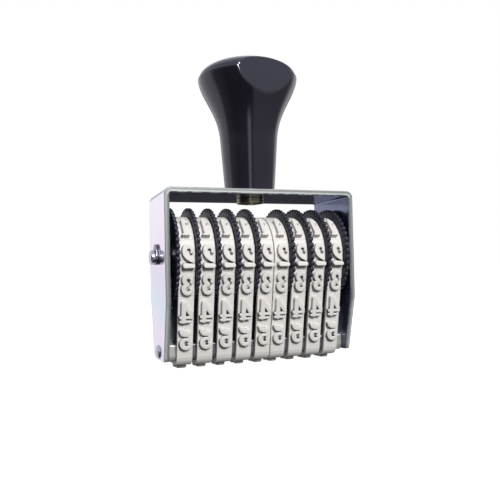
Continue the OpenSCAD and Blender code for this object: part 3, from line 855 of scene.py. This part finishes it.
def band_relief(loop, s, along, across, half_width):
    """Height of the band's face above its plain surface, the same as a share of the full
    relief, and how far a point is shut in. A figure's face is level. Beside it the rubber
    falls a little along a shoulder, then down a steep wall. Each point rises along the band's
    normal until it meets its figure's flat face. Fine cuts part the blocks and mark the
    splice. A point is shut in where the relief round it, averaged with weights that fall as a
    bell curve of the distance, is high, and in the cuts."""
    share = np.zeros((len(along), len(across)))
    height = np.zeros_like(share)
    y, z, normal_y, normal_z = loop.place(along, s.thickness)
    groove = np.zeros(len(along))
    for figure, at in figure_places(loop, s).items():
        offset = (along - at + loop.length / 2) % loop.length - loop.length / 2
        rows = np.abs(offset) < loop.pad_pitch / 2
        v, u = np.meshgrid(offset[rows], across, indexing="ij")
        gap = figure_distance(figure, s.face_width / 2 - u,
                              v + s.face_height / 2 + s.figure_drop, s)
        slope = smooth_step(gap / s.shoulder)
        wall = smooth_step((gap - 0.85 * s.shoulder) / s.wall)
        near_side = smooth_step((half_width - np.abs(u)) / s.side_wall)
        near_end = smooth_step((loop.pad_pitch / 2 - np.abs(v)) / s.end_wall)
        lift = (1 - s.slope_drop * slope - (1 - s.slope_drop) * wall) * near_side * near_end
        home_y, home_z, face_y, face_z = loop.place(np.array([at]), s.thickness)
        drop = (y[rows] - home_y) * face_y + (z[rows] - home_z) * face_z
        lean = normal_y[rows] * face_y + normal_z[rows] * face_z
        share[rows] = lift
        height[rows] = lift * ((s.relief - drop) / lean)[:, None]
        edge = np.abs(offset) - loop.pad_pitch / 2
        groove = np.maximum(groove, s.cut_depth * np.exp(-(edge / s.cut_width) ** 2))
    crease = loop.pad_pitch / 2 + s.splice - s.crease
    groove = np.maximum(groove,
                        s.crease_depth * np.exp(-((along - crease) / s.cut_width) ** 2))
    apart = (along[:, None] - along + loop.length / 2) % loop.length - loop.length / 2
    bell_along = np.exp(-(apart / s.shut_in) ** 2)
    bell_across = np.exp(-((across[:, None] - across) / s.shut_in) ** 2)
    nearby = bell_along / bell_along.sum(axis=1, keepdims=True) @ share
    nearby = nearby @ (bell_across / bell_across.sum(axis=1, keepdims=True)).T
    open_share, shut_span, shut_per_mm = 0.42, 0.25, 3.5
    shut = np.maximum(smooth_step((nearby - open_share) / shut_span),
                      shut_per_mm * groove[:, None] / MM)
    return height - groove[:, None] * (1 - share), share, shut


def facing_down(grid):
    """How far the surface of a grid faces down, from 0 where it is upright to 1: the cross
    product of the steps along and across it, its Z share turned round."""
    normal = np.cross(np.gradient(grid, axis=1), np.gradient(grid, axis=0))
    size = np.maximum(np.linalg.norm(normal, axis=-1), 1e-12)
    return np.clip(-normal[..., 2] / size, 0, 1)


def build_bands(s, drum, material):
    """The section of a band, a rounded strip whose outer side carries the relief, carried
    round the loop. Stations are close where there is type and wide where the band is plain."""
    low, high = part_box("number_band_1")
    width = high[0] - low[0]
    loop = BandLoop(s, drum)
    margin = 0.3 * MM
    typed_end = s.splice + 5.5 * loop.pad_pitch + margin
    typed_start = loop.length - 4.5 * loop.pad_pitch - margin
    along = np.concatenate([np.arange(0, typed_end, 0.08 * MM),
                            np.linspace(typed_end, typed_start, 46)[:-1],
                            np.linspace(typed_start, loop.length, 330)[:-1]])
    across = np.linspace(s.edge, width - s.edge, 56)
    face = band_relief(loop, s, along, across - width / 2, width / 2)
    a = np.linspace(0, np.pi / 2, 4)[:0:-1]
    left_x = s.edge * (1 - np.sin(a))
    left_off = s.edge * (np.cos(a) - 1)
    section_x = np.concatenate([left_x, across, width - left_x[::-1], [width, 0]])
    section_off = s.thickness + np.concatenate(
        [left_off, 0 * across, left_off[::-1], [-s.thickness] * 2])
    beside = ((0, 0), (len(a), len(a) + 2))
    rise, high_share, shut_in = (np.pad(values, beside) for values in face)
    y, z = loop.place(along[:, None] + 0 * rise, section_off + rise)[:2]
    down = facing_down(np.stack([section_x + 0 * rise, y, z], axis=-1))
    for k in range(1, WHEEL_COUNT + 1):
        node = f"number_band_{k}"
        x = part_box(node)[0][0] + section_x + 0 * rise
        grid = np.stack([x, y, z], axis=-1)
        piece(f"figure_band_{k}", [shell(grid, wrap_rows=True)], node, material,
              {"relief": high_share, "shut in": shut_in, "down": down,
               "along": along[:, None] + 0 * rise}, crease=60)


# ---------------------------------------------------------------- shader helpers

def node(tree, kind, inputs=None, **settings):
    """A shader node with its settings; an input is a value, or a socket to link from."""
    made = tree.nodes.new(kind)
    for label, value in settings.items():
        setattr(made, label, value)
    for label, value in (inputs or {}).items():
        if isinstance(value, bpy.types.NodeSocket):
            tree.links.new(value, made.inputs[label])
        else:
            made.inputs[label].default_value = value
    return made


def math_node(tree, operation, *values, clamp=False):
    """One step of arithmetic on numbers or sockets."""
    return node(tree, "ShaderNodeMath", dict(enumerate(values)), operation=operation,
                use_clamp=clamp).outputs[0]


def times(tree, first, second, clamp=False):
    """The product of two numbers or sockets."""
    return math_node(tree, "MULTIPLY", first, second, clamp=clamp)


def plus(tree, first, second, clamp=False):
    """The sum of two numbers or sockets."""
    return math_node(tree, "ADD", first, second, clamp=clamp)


def minus(tree, first, second):
    """The first number or socket less the second."""
    return math_node(tree, "SUBTRACT", first, second)


def remap(tree, value, low, high, to_low=0.0, to_high=1.0, curve="SMOOTHSTEP"):
    """A value carried from one span to another, and held at that span's ends."""
    return node(tree, "ShaderNodeMapRange", {
        "Value": value, "From Min": low, "From Max": high, "To Min": to_low,
        "To Max": to_high}, interpolation_type=curve).outputs["Result"]


def mix(tree, share, first, second):
    """A blend of two colours, each a socket or three numbers: share 0 gives the first."""
    first, second = (shade if isinstance(shade, bpy.types.NodeSocket) else (*shade, 1.0)
                     for shade in (first, second))
    return node(tree, "ShaderNodeMix", {0: share, 6: first, 7: second},
                data_type="RGBA").outputs[2]


def toned(shade, gain):
    """A colour made darker or brighter by a gain, no part of it above 1."""
    return tuple(min(gain * part, 1) for part in shade)


def ramp(tree, value, stops):
    """A colour ramp over stops of (place, colour)."""
    made = node(tree, "ShaderNodeValToRGB", {"Fac": value})
    elements = made.color_ramp.elements
    while len(elements) < len(stops):
        elements.new(0.5)
    for element, (place, shade) in zip(elements, stops):
        element.position = place
        element.color = (*shade, 1.0)
    return made.outputs["Color"]


def attribute(tree, name):
    """The piece's own number at each point, by its name, and 0 where the piece has none."""
    return node(tree, "ShaderNodeAttribute", attribute_name=name).outputs["Fac"]


def object_place(tree):
    """The place on the piece, in the frame that all pieces share."""
    return node(tree, "ShaderNodeTexCoord").outputs["Object"]


def new_group(name, inputs, outputs):
    """A shader node group with float inputs (name: default), a vector input called Place, and
    float outputs."""
    tree = bpy.data.node_groups.new(name, "ShaderNodeTree")
    tree.interface.new_socket("Place", in_out="INPUT", socket_type="NodeSocketVector")
    for label, value in inputs.items():
        socket = tree.interface.new_socket(label, in_out="INPUT", socket_type="NodeSocketFloat")
        socket.default_value = value
    for label in outputs:
        tree.interface.new_socket(label, in_out="OUTPUT", socket_type="NodeSocketFloat")
    return tree, tree.nodes.new("NodeGroupInput"), tree.nodes.new("NodeGroupOutput")


def grain_group():
    """Fine uneven grain: two octaves of noise at a scale, as a value from 0 to 1."""
    tree, given, out = new_group("Fine grain", {"Scale": 2000.0, "Contrast": 1.0}, ["Value"])
    noise = node(tree, "ShaderNodeTexNoise", {
        "Vector": given.outputs["Place"], "Scale": given.outputs["Scale"],
        "Detail": 3.0, "Roughness": 0.6})
    spread = times(tree, minus(tree, noise.outputs["Fac"], 0.5), given.outputs["Contrast"])
    tree.links.new(plus(tree, spread, 0.5, clamp=True), out.inputs["Value"])
    return tree


def wear_group():
    """Worn edges: an edge mask broken up by noise, so that wear comes in patches."""
    tree, given, out = new_group(
        "Edge wear", {"Edge": 0.0, "Scale": 300.0, "Amount": 0.5}, ["Mask"])
    noise = node(tree, "ShaderNodeTexNoise", {
        "Vector": given.outputs["Place"], "Scale": given.outputs["Scale"], "Detail": 4.0})
    patchy = times(tree, given.outputs["Edge"], noise.outputs["Fac"])
    grown = times(tree, patchy, given.outputs["Amount"])
    tree.links.new(times(tree, grown, 2.0, clamp=True), out.inputs["Mask"])
    return tree


def dust_group():
    """Dust that settles on upward faces, uneven by noise."""
    tree, given, out = new_group("Dust", {"Scale": 120.0, "Amount": 0.2}, ["Mask"])
    noise = node(tree, "ShaderNodeTexNoise", {
        "Vector": given.outputs["Place"], "Scale": given.outputs["Scale"], "Detail": 5.0})
    normal = node(tree, "ShaderNodeNewGeometry").outputs["Normal"]
    upward = node(tree, "ShaderNodeSeparateXYZ", {"Vector": normal}).outputs["Z"]
    lying = remap(tree, upward, 0.2, 1.0)
    uneven = remap(tree, noise.outputs["Fac"], 0.35, 0.7)
    both = times(tree, lying, uneven)
    tree.links.new(times(tree, both, given.outputs["Amount"], clamp=True), out.inputs["Mask"])
    return tree


def shared(name):
    """A shared node group, built the first time that it is asked for."""
    builders = {"Fine grain": grain_group, "Edge wear": wear_group, "Dust": dust_group}
    return bpy.data.node_groups.get(name) or builders[name]()


def effect(tree, name, output, place, **inputs):
    """A shared node group placed in a material, with its own values."""
    return node(tree, "ShaderNodeGroup", {"Place": place, **inputs},
                node_tree=shared(name)).outputs[output]


def new_material(name, **values):
    """A material with one Principled shader, and the values set on its own sockets."""
    made = bpy.data.materials.new(name)
    made.use_nodes = True
    tree = made.node_tree
    shader = tree.nodes["Principled BSDF"]
    for label, value in values.items():
        shader.inputs[label.replace("_", " ")].default_value = value
    return made, tree, shader


def finish_surface(tree, shader, colour_out, rough_out, height_out, strength, distance):
    """Links colour, roughness and the height of a bump into the shader."""
    bump = node(tree, "ShaderNodeBump", {
        "Height": height_out, "Strength": strength, "Distance": distance})
    tree.links.new(colour_out, shader.inputs["Base Color"])
    tree.links.new(rough_out, shader.inputs["Roughness"])
    tree.links.new(bump.outputs["Normal"], shader.inputs["Normal"])


# ---------------------------------------------------------------- materials

def zinc_plate(s):
    """Bright zinc plate. Its faint pink, blue and lilac drift with height and with a slow
    noise; the inside is painted a darker shade. The sheared edges are greenish and dull,
    with a painted highlight along one half of their thickness, painted dark dashes of shade
    along the inner corner, and painted shade above the slope."""
    made, tree, shader = new_material("Zinc plate")
    place = object_place(tree)
    height = node(tree, "ShaderNodeSeparateXYZ", {"Vector": place}).outputs["Z"]
    drift = effect(tree, "Fine grain", "Value", place, Scale=55.0, Contrast=1.4)
    level = remap(tree, height, BRACKET_LO[2], BRACKET_HI[2], curve="LINEAR")
    shifted = plus(tree, level, times(tree, minus(tree, drift, 0.5), 0.35), clamp=True)
    pale = tuple((3 * part + 1) / 4 for part in s.pink)
    dusky = toned(s.pink, 0.88)
    film = ramp(tree, shifted, [(0.02, s.lilac), (0.16, dusky), (0.30, s.blue),
                                (0.52, s.lilac), (0.72, s.pink), (0.95, pale)])
    inner = attribute(tree, "inner")
    cut = attribute(tree, "cut")
    # Painted shade: the inside of the bends takes the darker inside colour.
    film_with_painted_inner_shade = mix(tree, inner, film, s.inside)
    grain = effect(tree, "Fine grain", "Value", place, Scale=2600.0, Contrast=1.0)
    on_top = remap(tree, height, BRACKET_HI[2] - s.sheet - MM, BRACKET_HI[2] - s.sheet)
    dull = mix(tree, grain, toned(s.cut, 0.75), toned(s.cut, 1.05))
    # Painted highlight: one half of each sheared edge is made bright, the outer half on the sides
    # and the inner half on the top strip; the other half keeps the dull cut colour.
    cut_edge_with_painted_light = mix(tree, on_top, toned(s.cut, 1.7), dull)
    inner_half_with_painted_highlight = mix(tree, on_top, dull, toned(s.cut, 2.2))
    through = attribute(tree, "through")
    cut_edge_with_painted_light = mix(tree, remap(tree, through, 0.42, 0.62), cut_edge_with_painted_light, inner_half_with_painted_highlight)
    # Painted shade: dark dashes along the inner corner of the sheared edges.
    painted_shade_dashes = effect(tree, "Fine grain", "Value", place, Scale=420.0, Contrast=2.2)
    painted_shade_dashes = times(tree, remap(tree, painted_shade_dashes, 0.46, 0.56), remap(tree, through, 0.78, 0.86))
    cut_edge_with_painted_light = mix(tree, painted_shade_dashes, cut_edge_with_painted_light, toned(s.cut, 0.12))
    # Painted shade: the sheared edges are darkened above the slope of the side plates, less on the
    # top strip.
    painted_shade_above_slope = times(tree, remap(tree, level, 0.28, 0.38), 0.42)
    painted_shade_above_slope = minus(tree, painted_shade_above_slope, times(tree, on_top, 0.18))
    cut_edge_with_painted_light = mix(tree, painted_shade_above_slope, cut_edge_with_painted_light, (0, 0, 0))
    shade = mix(tree, cut, film_with_painted_inner_shade, cut_edge_with_painted_light)
    dust = effect(tree, "Dust", "Mask", place, Scale=260.0, Amount=0.12)
    shade = mix(tree, dust, shade, (0.62, 0.62, 0.60))
    rough = plus(tree, 0.07, times(tree, drift, 0.06))
    rough = plus(tree, rough, times(tree, inner, 0.09))
    rough = plus(tree, rough, times(tree, cut, 0.28))
    metal = minus(tree, 1.0, times(tree, cut, 0.70))
    metal = minus(tree, metal, times(tree, inner, 0.25))
    tree.links.new(metal, shader.inputs["Metallic"])
    finish_surface(tree, shader, shade, rough, grain, 0.06, 0.00002)
    return made


def black_gloss(s):
    """Glossy black moulded plastic with a faint wipe pattern in its polish."""
    made, tree, shader = new_material("Black gloss", IOR=1.54,
                                      Specular_Tint=(0.90, 0.88, 1.0, 1.0))
    place = object_place(tree)
    smear = effect(tree, "Fine grain", "Value", place, Scale=140.0, Contrast=1.6)
    wear = effect(tree, "Edge wear", "Mask", place, Edge=attribute(tree, "edge"), Scale=420.0,
                  Amount=0.35)
    dust = effect(tree, "Dust", "Mask", place, Scale=900.0, Amount=0.05)
    shade = mix(tree, wear, s.gloss, (0.055, 0.055, 0.065))
    shade = mix(tree, dust, shade, (0.35, 0.35, 0.36))
    rough = plus(tree, 0.07, times(tree, smear, 0.06))
    finish_surface(tree, shader, shade, rough, smear, 0.02, 0.00005)
    return made


def black_wheel(s):
    """Satin black plastic with a moulded grain, a little paler on the tips of the knurl."""
    made, tree, shader = new_material("Black wheel", Specular_IOR_Level=0.30,
                                      Specular_Tint=(0.80, 0.80, 1.0, 1.0))
    place = object_place(tree)
    grain = effect(tree, "Fine grain", "Value", place, Scale=1800.0, Contrast=1.2)
    wear = effect(tree, "Edge wear", "Mask", place, Edge=attribute(tree, "tip"), Scale=700.0,
                  Amount=0.8)
    dust = effect(tree, "Dust", "Mask", place, Scale=500.0, Amount=0.08)
    mottle = effect(tree, "Fine grain", "Value", place, Scale=520.0, Contrast=2.4)
    shade = mix(tree, mottle, toned(s.plastic, 0.5), toned(s.plastic, 2))
    shade = mix(tree, wear, shade, s.wear_and_glint)
    shade = mix(tree, dust, shade, (0.30, 0.29, 0.31))
    rough = plus(tree, 0.38, times(tree, grain, 0.14))
    finish_surface(tree, shader, shade, rough, grain, 0.12, 0.00003)
    return made


def grey_rubber(s):
    """Warm grey rubber, matt and finely grained, with a little painted shade low between the
    figures, painted shade under their edges and near-black painted shade in shut-in hollows."""
    made, tree, shader = new_material("Grey rubber", IOR=1.45)
    place = object_place(tree)
    grain = effect(tree, "Fine grain", "Value", place, Scale=3200.0, Contrast=1.0)
    blotch = effect(tree, "Fine grain", "Value", place, Scale=260.0, Contrast=1.5)
    relief = attribute(tree, "relief")
    # Painted shade: darker low between the figures, most near the foot of their walls.
    low = remap(tree, relief, 0.0, 0.75, 1.0, 0.0)
    low = times(tree, low, remap(tree, relief, 0.0, 0.12, 0.35, 1.0))
    shade = mix(tree, times(tree, low, 0.25), s.rubber, s.groove)
    tint = mix(tree, blotch, toned(s.rubber, 0.93), toned(s.rubber, 1.04))
    shade = mix(tree, 0.35, shade, tint)
    # Painted shade: under the type's edges, on walls that face down, weaker beyond a place along
    # the band.
    painted_undershade = times(tree, remap(tree, relief, 0.01, 0.12),
                  remap(tree, relief, 0.80, 0.96, 1.0, 0.0))
    painted_undershade = times(tree, painted_undershade, remap(tree, attribute(tree, "down"), 0.10, 0.70))
    undershade_kept = remap(tree, attribute(tree, "along"), s.wiped, s.wiped + 0.4 * MM, 1.0, 0.25)
    shade = mix(tree, times(tree, painted_undershade, undershade_kept), shade, toned(s.groove, 0.40))
    # Painted shade: near black in hollows shut in by relief and in the fine cuts.
    shut_in = times(tree, attribute(tree, "shut in"),
                    remap(tree, relief, 0.50, 0.90, 1.0, 0.0))
    shade = mix(tree, shut_in, shade, toned(s.groove, 0.06))
    dust = effect(tree, "Dust", "Mask", place, Scale=700.0, Amount=0.06)
    shade = mix(tree, dust, shade, (0.55, 0.54, 0.52))
    rough = plus(tree, 0.50, times(tree, grain, 0.14))
    finish_surface(tree, shader, shade, rough, grain, 0.18, 0.00003)
    return made


def turned_steel(name, tone, roughness, about_x=True, metallic=1.0):
    """Metal with fine turning lines about its axis and a slow drift of tone, darkened by a
    painted shade where the attribute dark is high and whitened by a painted glint where the
    attribute wear_and_glint is high."""
    made, tree, shader = new_material(name, Metallic=metallic)
    place = object_place(tree)
    centred = node(tree, "ShaderNodeMapping", {
        "Vector": place, "Location": (0, 0, -AXLE_Z if about_x else 0),
        "Scale": (0.15, 1, 1) if about_x else (1, 1, 0.15)})
    rings = node(tree, "ShaderNodeTexWave", {
        "Vector": centred.outputs["Vector"], "Scale": 900.0, "Distortion": 1.5, "Detail": 2.0},
        wave_type="RINGS", rings_direction="X" if about_x else "Z").outputs["Fac"]
    drift = effect(tree, "Fine grain", "Value", place, Scale=420.0, Contrast=1.5)
    shade = mix(tree, drift, toned(tone, 0.82), toned(tone, 1.1))
    dust = effect(tree, "Dust", "Mask", place, Scale=800.0, Amount=0.08)
    shade = mix(tree, dust, shade, (0.4, 0.4, 0.4))
    # Painted shade where the attribute dark is high.
    shade = mix(tree, attribute(tree, "dark"), shade, (0.05, 0.05, 0.075))
    # Painted glint: white where the bed marks its top edges.
    shade = mix(tree, attribute(tree, "wear_and_glint"), shade, (1.0, 1.0, 1.0))
    rough = plus(tree, roughness, times(tree, drift, 0.12))
    finish_surface(tree, shader, shade, rough, rings, 0.05, 0.00001)
    return made


# ---------------------------------------------------------------- stage

def from_angles(turn, rise):
    """Unit vector at a turn about the upright axis from the front, and a rise above level,
    both in radians."""
    return Vector((math.sin(turn) * math.cos(rise), -math.cos(turn) * math.cos(rise),
                   math.sin(rise)))


def build_camera(s):
    """The camera looks at its target from the view's turn and rise, rolled about its axis."""
    back = from_angles(s.view_turn, s.view_rise)
    right = (-back).cross(Vector((0, 0, 1))).normalized()
    up = right.cross(-back)
    rolled_right = math.cos(s.view_roll) * right + math.sin(s.view_roll) * up
    rolled_up = math.cos(s.view_roll) * up - math.sin(s.view_roll) * right
    target = Vector((s.target_x, 0, s.target_z))
    data = bpy.data.cameras.new("Camera")
    data.sensor_fit = "HORIZONTAL"
    data.sensor_width = 36
    data.lens = s.focal / MM
    data.clip_start = 5 * MM
    camera = bpy.data.objects.new("Camera", data)
    bpy.context.scene.collection.objects.link(camera)
    turn = Matrix((rolled_right, rolled_up, back)).transposed().to_4x4()
    camera.matrix_world = Matrix.Translation(target + back * s.view_distance) @ turn
    bpy.context.scene.camera = camera


def build_lamp(s):
    """A soft square panel that faces the stamp. Its level is what it adds to a white surface
    square to it: its power over pi squared and the distance squared. The camera doesn't see
    it."""
    data = bpy.data.lights.new("Key", "AREA")
    data.shape = "SQUARE"
    data.size = s.lamp_size
    data.energy = s.lamp_level * math.pi ** 2 * s.lamp_distance ** 2
    lamp = bpy.data.objects.new("Key", data)
    toward = from_angles(s.view_turn + s.lamp_turn, s.lamp_rise)
    middle = Vector((0, 0, (cad_box[0][2] + cad_box[1][2]) / 2))
    lamp.location = middle + toward * s.lamp_distance
    lamp.rotation_euler = toward.to_track_quat("Z", "Y").to_euler()
    lamp.visible_camera = False
    bpy.context.scene.collection.objects.link(lamp)


def levels_round(tree, around, levels, tint=(1, 1, 1)):
    """A level of light by turn, from (degrees to the right of the camera, level), tinted."""
    return ramp(tree, around, [(0.5 + turn / 360, tuple(level * part for part in tint))
                               for turn, level in levels])


def build_world(s):
    """The backdrop is white where the camera looks at it. Gloss sees a white room with a dim
    front: dark to the left of the viewer, grey to the right, a strip of light between them,
    and light at both sides and overhead. Matt surfaces are lit from above more than from
    below, and softly from behind."""
    world = bpy.data.worlds.new("Studio")
    bpy.context.scene.world = world
    world.use_nodes = True
    tree = world.node_tree
    direction = node(tree, "ShaderNodeTexCoord").outputs["Generated"]
    from_viewer = node(tree, "ShaderNodeMapping", {
        "Vector": direction, "Rotation": (0, 0, math.pi / 2 - s.view_turn)})
    around = node(tree, "ShaderNodeTexGradient", {"Vector": from_viewer.outputs["Vector"]},
                  gradient_type="RADIAL").outputs["Fac"]
    walls = [(-160, 0.04), (-152, 1.05), (-92, 1.05), (-82, 0.30), (-50, 0.05), (12, 0.02),
             (24, 0.42), (70, 0.40), (122, 0.22), (138, 1.0), (152, 1.0), (160, 0.04)]
    room = levels_round(tree, around, walls, (0.98, 0.98, 1.03))
    rise = node(tree, "ShaderNodeSeparateXYZ", {"Vector": direction}).outputs["Z"]
    strip = levels_round(tree, around, [(-5, 0), (1, 1), (7, 1), (13, 0)])
    strip = times(tree, strip, remap(tree, rise, -0.60, -0.20))
    strip_light = (1.30, 1.37, 1.54)
    ceiling_light = (0.90, 0.95, 1.05)
    room = mix(tree, strip, room, strip_light)
    room = mix(tree, remap(tree, rise, 0.0, 0.45), room, ceiling_light)
    path = node(tree, "ShaderNodeLightPath")
    mirrored = math_node(tree, "MAXIMUM", path.outputs["Is Glossy Ray"],
                         path.outputs["Is Transmission Ray"])
    dome = mix(tree, remap(tree, rise, -0.3, 0.7), (0.2 * s.ambient,) * 3, (s.ambient,) * 3)
    behind = levels_round(tree, around, [(-150, 1), (-110, 0), (110, 0), (150, 1)])
    dome = mix(tree, behind, dome, (s.rear,) * 3)
    light = mix(tree, mirrored, dome, room)
    seen = mix(tree, path.outputs["Is Camera Ray"], light, tuple(s.backdrop))
    tree.links.new(seen, tree.nodes["Background"].inputs["Color"])


def build_floor(s):
    """A plain pale sheet under the type, a square about the origin. It takes the stamp's
    shadow, and is lifted to white where the camera looks at it. Only the camera sees it:
    other rays go on into the room."""
    mesh = bpy.data.meshes.new("floor")
    half = s.floor_size / 2
    corners = [(x, y, -s.floor_drop) for x, y in
               ((-half, -half), (half, -half), (half, half), (-half, half))]
    mesh.from_pydata(corners, [], [(0, 1, 2, 3)])
    made, tree, shader = new_material(
        "Floor", Roughness=0.9, Specular_IOR_Level=0.0, Emission_Strength=1.0,
        Emission_Color=(0.88, 0.88, 0.88, 1.0))
    place = object_place(tree)
    grain = effect(tree, "Fine grain", "Value", place, Scale=900.0, Contrast=0.6)
    shade = mix(tree, grain, s.floor_colour, toned(s.floor_colour, 1.02))
    path = node(tree, "ShaderNodeLightPath")
    clear = tree.nodes.new("ShaderNodeBsdfTransparent")
    seen = node(tree, "ShaderNodeMixShader", {
        0: path.outputs["Is Camera Ray"], 1: clear.outputs["BSDF"], 2: shader.outputs["BSDF"]})
    tree.links.new(seen.outputs[0], tree.nodes["Material Output"].inputs["Surface"])
    tree.links.new(shade, shader.inputs["Base Color"])
    mesh.materials.append(made)
    floor = bpy.data.objects.new("floor", mesh)
    bpy.context.scene.collection.objects.link(floor)


# ---------------------------------------------------------------- operators and panel

class BracketOperator(bpy.types.Operator):
    """Make the bent sheet bracket"""
    bl_idname = "numbering_stamp.bracket"
    bl_label = "Bracket"

    def execute(self, context):
        settings = context.scene.stamp_bracket
        build_bracket(settings, zinc_plate(settings))
        return {"FINISHED"}


class HandleOperator(bpy.types.Operator):
    """Make the moulded handle"""
    bl_idname = "numbering_stamp.handle"
    bl_label = "Handle"

    def execute(self, context):
        settings = context.scene.stamp_handle
        build_handle(settings, black_gloss(settings))
        return {"FINISHED"}


class WheelsOperator(bpy.types.Operator):
    """Make the nine thumb wheels"""
    bl_idname = "numbering_stamp.wheels"
    bl_label = "Thumb wheels"

    def execute(self, context):
        settings = context.scene.stamp_wheels
        build_wheels(settings, black_wheel(settings))
        return {"FINISHED"}


class BandsOperator(bpy.types.Operator):
    """Make the nine figure bands"""
    bl_idname = "numbering_stamp.bands"
    bl_label = "Figure bands"

    def execute(self, context):
        scene = context.scene
        build_bands(scene.stamp_bands, scene.stamp_wheels.drum, grey_rubber(scene.stamp_bands))
        return {"FINISHED"}


class AxleOperator(bpy.types.Operator):
    """Make the axle, its two clips and its two thrust washers"""
    bl_idname = "numbering_stamp.axle"
    bl_label = "Axle and clips"

    def execute(self, context):
        settings = context.scene.stamp_metal
        steel = turned_steel("Turned steel", settings.steel, 0.16)
        spring = turned_steel("Spring steel", settings.spring, 0.24)
        build_axle(settings, steel)
        for side in ("left", "right"):
            build_clip(f"clip_{side}", f"e_clip_{side}", settings, spring)
            build_washer(f"washer_{side}", f"thrust_washer_{side}", steel)
        return {"FINISHED"}


class BedOperator(bpy.types.Operator):
    """Make the type bed and its two rivets"""
    bl_idname = "numbering_stamp.bed"
    bl_label = "Type bed"

    def execute(self, context):
        scene = context.scene
        settings = scene.stamp_metal
        plate = turned_steel("Bed steel", settings.bed, 0.38, metallic=0.5)
        build_bed(scene.stamp_bands.nose, scene.stamp_wheels.flange, settings, plate)
        rivet = turned_steel("Rivet steel", settings.steel, 0.20)
        for side, name in ((-1, "left"), (1, "right")):
            build_rivet(f"rivet_{name}", f"bed_rivet_{name}", side, settings, rivet)
        return {"FINISHED"}


class ScrewOperator(bpy.types.Operator):
    """Make the handle screw and its spring washer"""
    bl_idname = "numbering_stamp.screw"
    bl_label = "Handle screw"

    def execute(self, context):
        settings = context.scene.stamp_metal
        plated = turned_steel("Yellow zinc", settings.zinc, 0.22, about_x=False)
        build_screw(settings, plated)
        build_lock_washer(settings, plated)
        return {"FINISHED"}


class StageOperator(bpy.types.Operator):
    """Make the camera, the lamp, the backdrop and the floor"""
    bl_idname = "numbering_stamp.stage"
    bl_label = "Stage"

    def execute(self, context):
        settings = context.scene.stamp_stage
        build_camera(settings)
        build_world(settings)
        build_floor(settings)
        build_lamp(settings)
        context.scene.view_settings.view_transform = "Standard"
        return {"FINISHED"}


MAKERS = (StageOperator, BracketOperator, HandleOperator, WheelsOperator, BandsOperator,
          AxleOperator, BedOperator, ScrewOperator)
SETTINGS = {
    "stamp_bracket": BracketSettings, "stamp_handle": HandleSettings,
    "stamp_wheels": WheelSettings, "stamp_bands": BandSettings,
    "stamp_metal": MetalSettings, "stamp_stage": StageSettings,
}


class StampPanel(bpy.types.Panel):
    """Buttons and sizes of the stamp in the 3D view's sidebar"""
    bl_idname = "VIEW3D_PT_numbering_stamp"
    bl_label = "Numbering stamp"
    bl_space_type = "VIEW_3D"
    bl_region_type = "UI"
    bl_category = "Numbering stamp"

    def draw(self, context):
        for maker in MAKERS:
            self.layout.operator(maker.bl_idname)
        for label, group in SETTINGS.items():
            box = self.layout.box()
            for name in group.__annotations__:
                box.prop(getattr(context.scene, label), name)


def register():
    """Register the sizes, the operators and the panel, and hang the sizes on the scene."""
    for kind in (*SETTINGS.values(), *MAKERS, StampPanel):
        bpy.utils.register_class(kind)
    for label, group in SETTINGS.items():
        setattr(bpy.types.Scene, label, bpy.props.PointerProperty(type=group))


def unregister():
    """Take back what register did, in the other order."""
    for label in SETTINGS:
        delattr(bpy.types.Scene, label)
    for kind in (StampPanel, *reversed(MAKERS), *reversed(SETTINGS.values())):
        bpy.utils.unregister_class(kind)


def main():
    """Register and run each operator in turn."""
    register()
    for maker in MAKERS:
        group, action = maker.bl_idname.split(".")
        getattr(getattr(bpy.ops, group), action)()


if __name__ == "__main__":
    main()
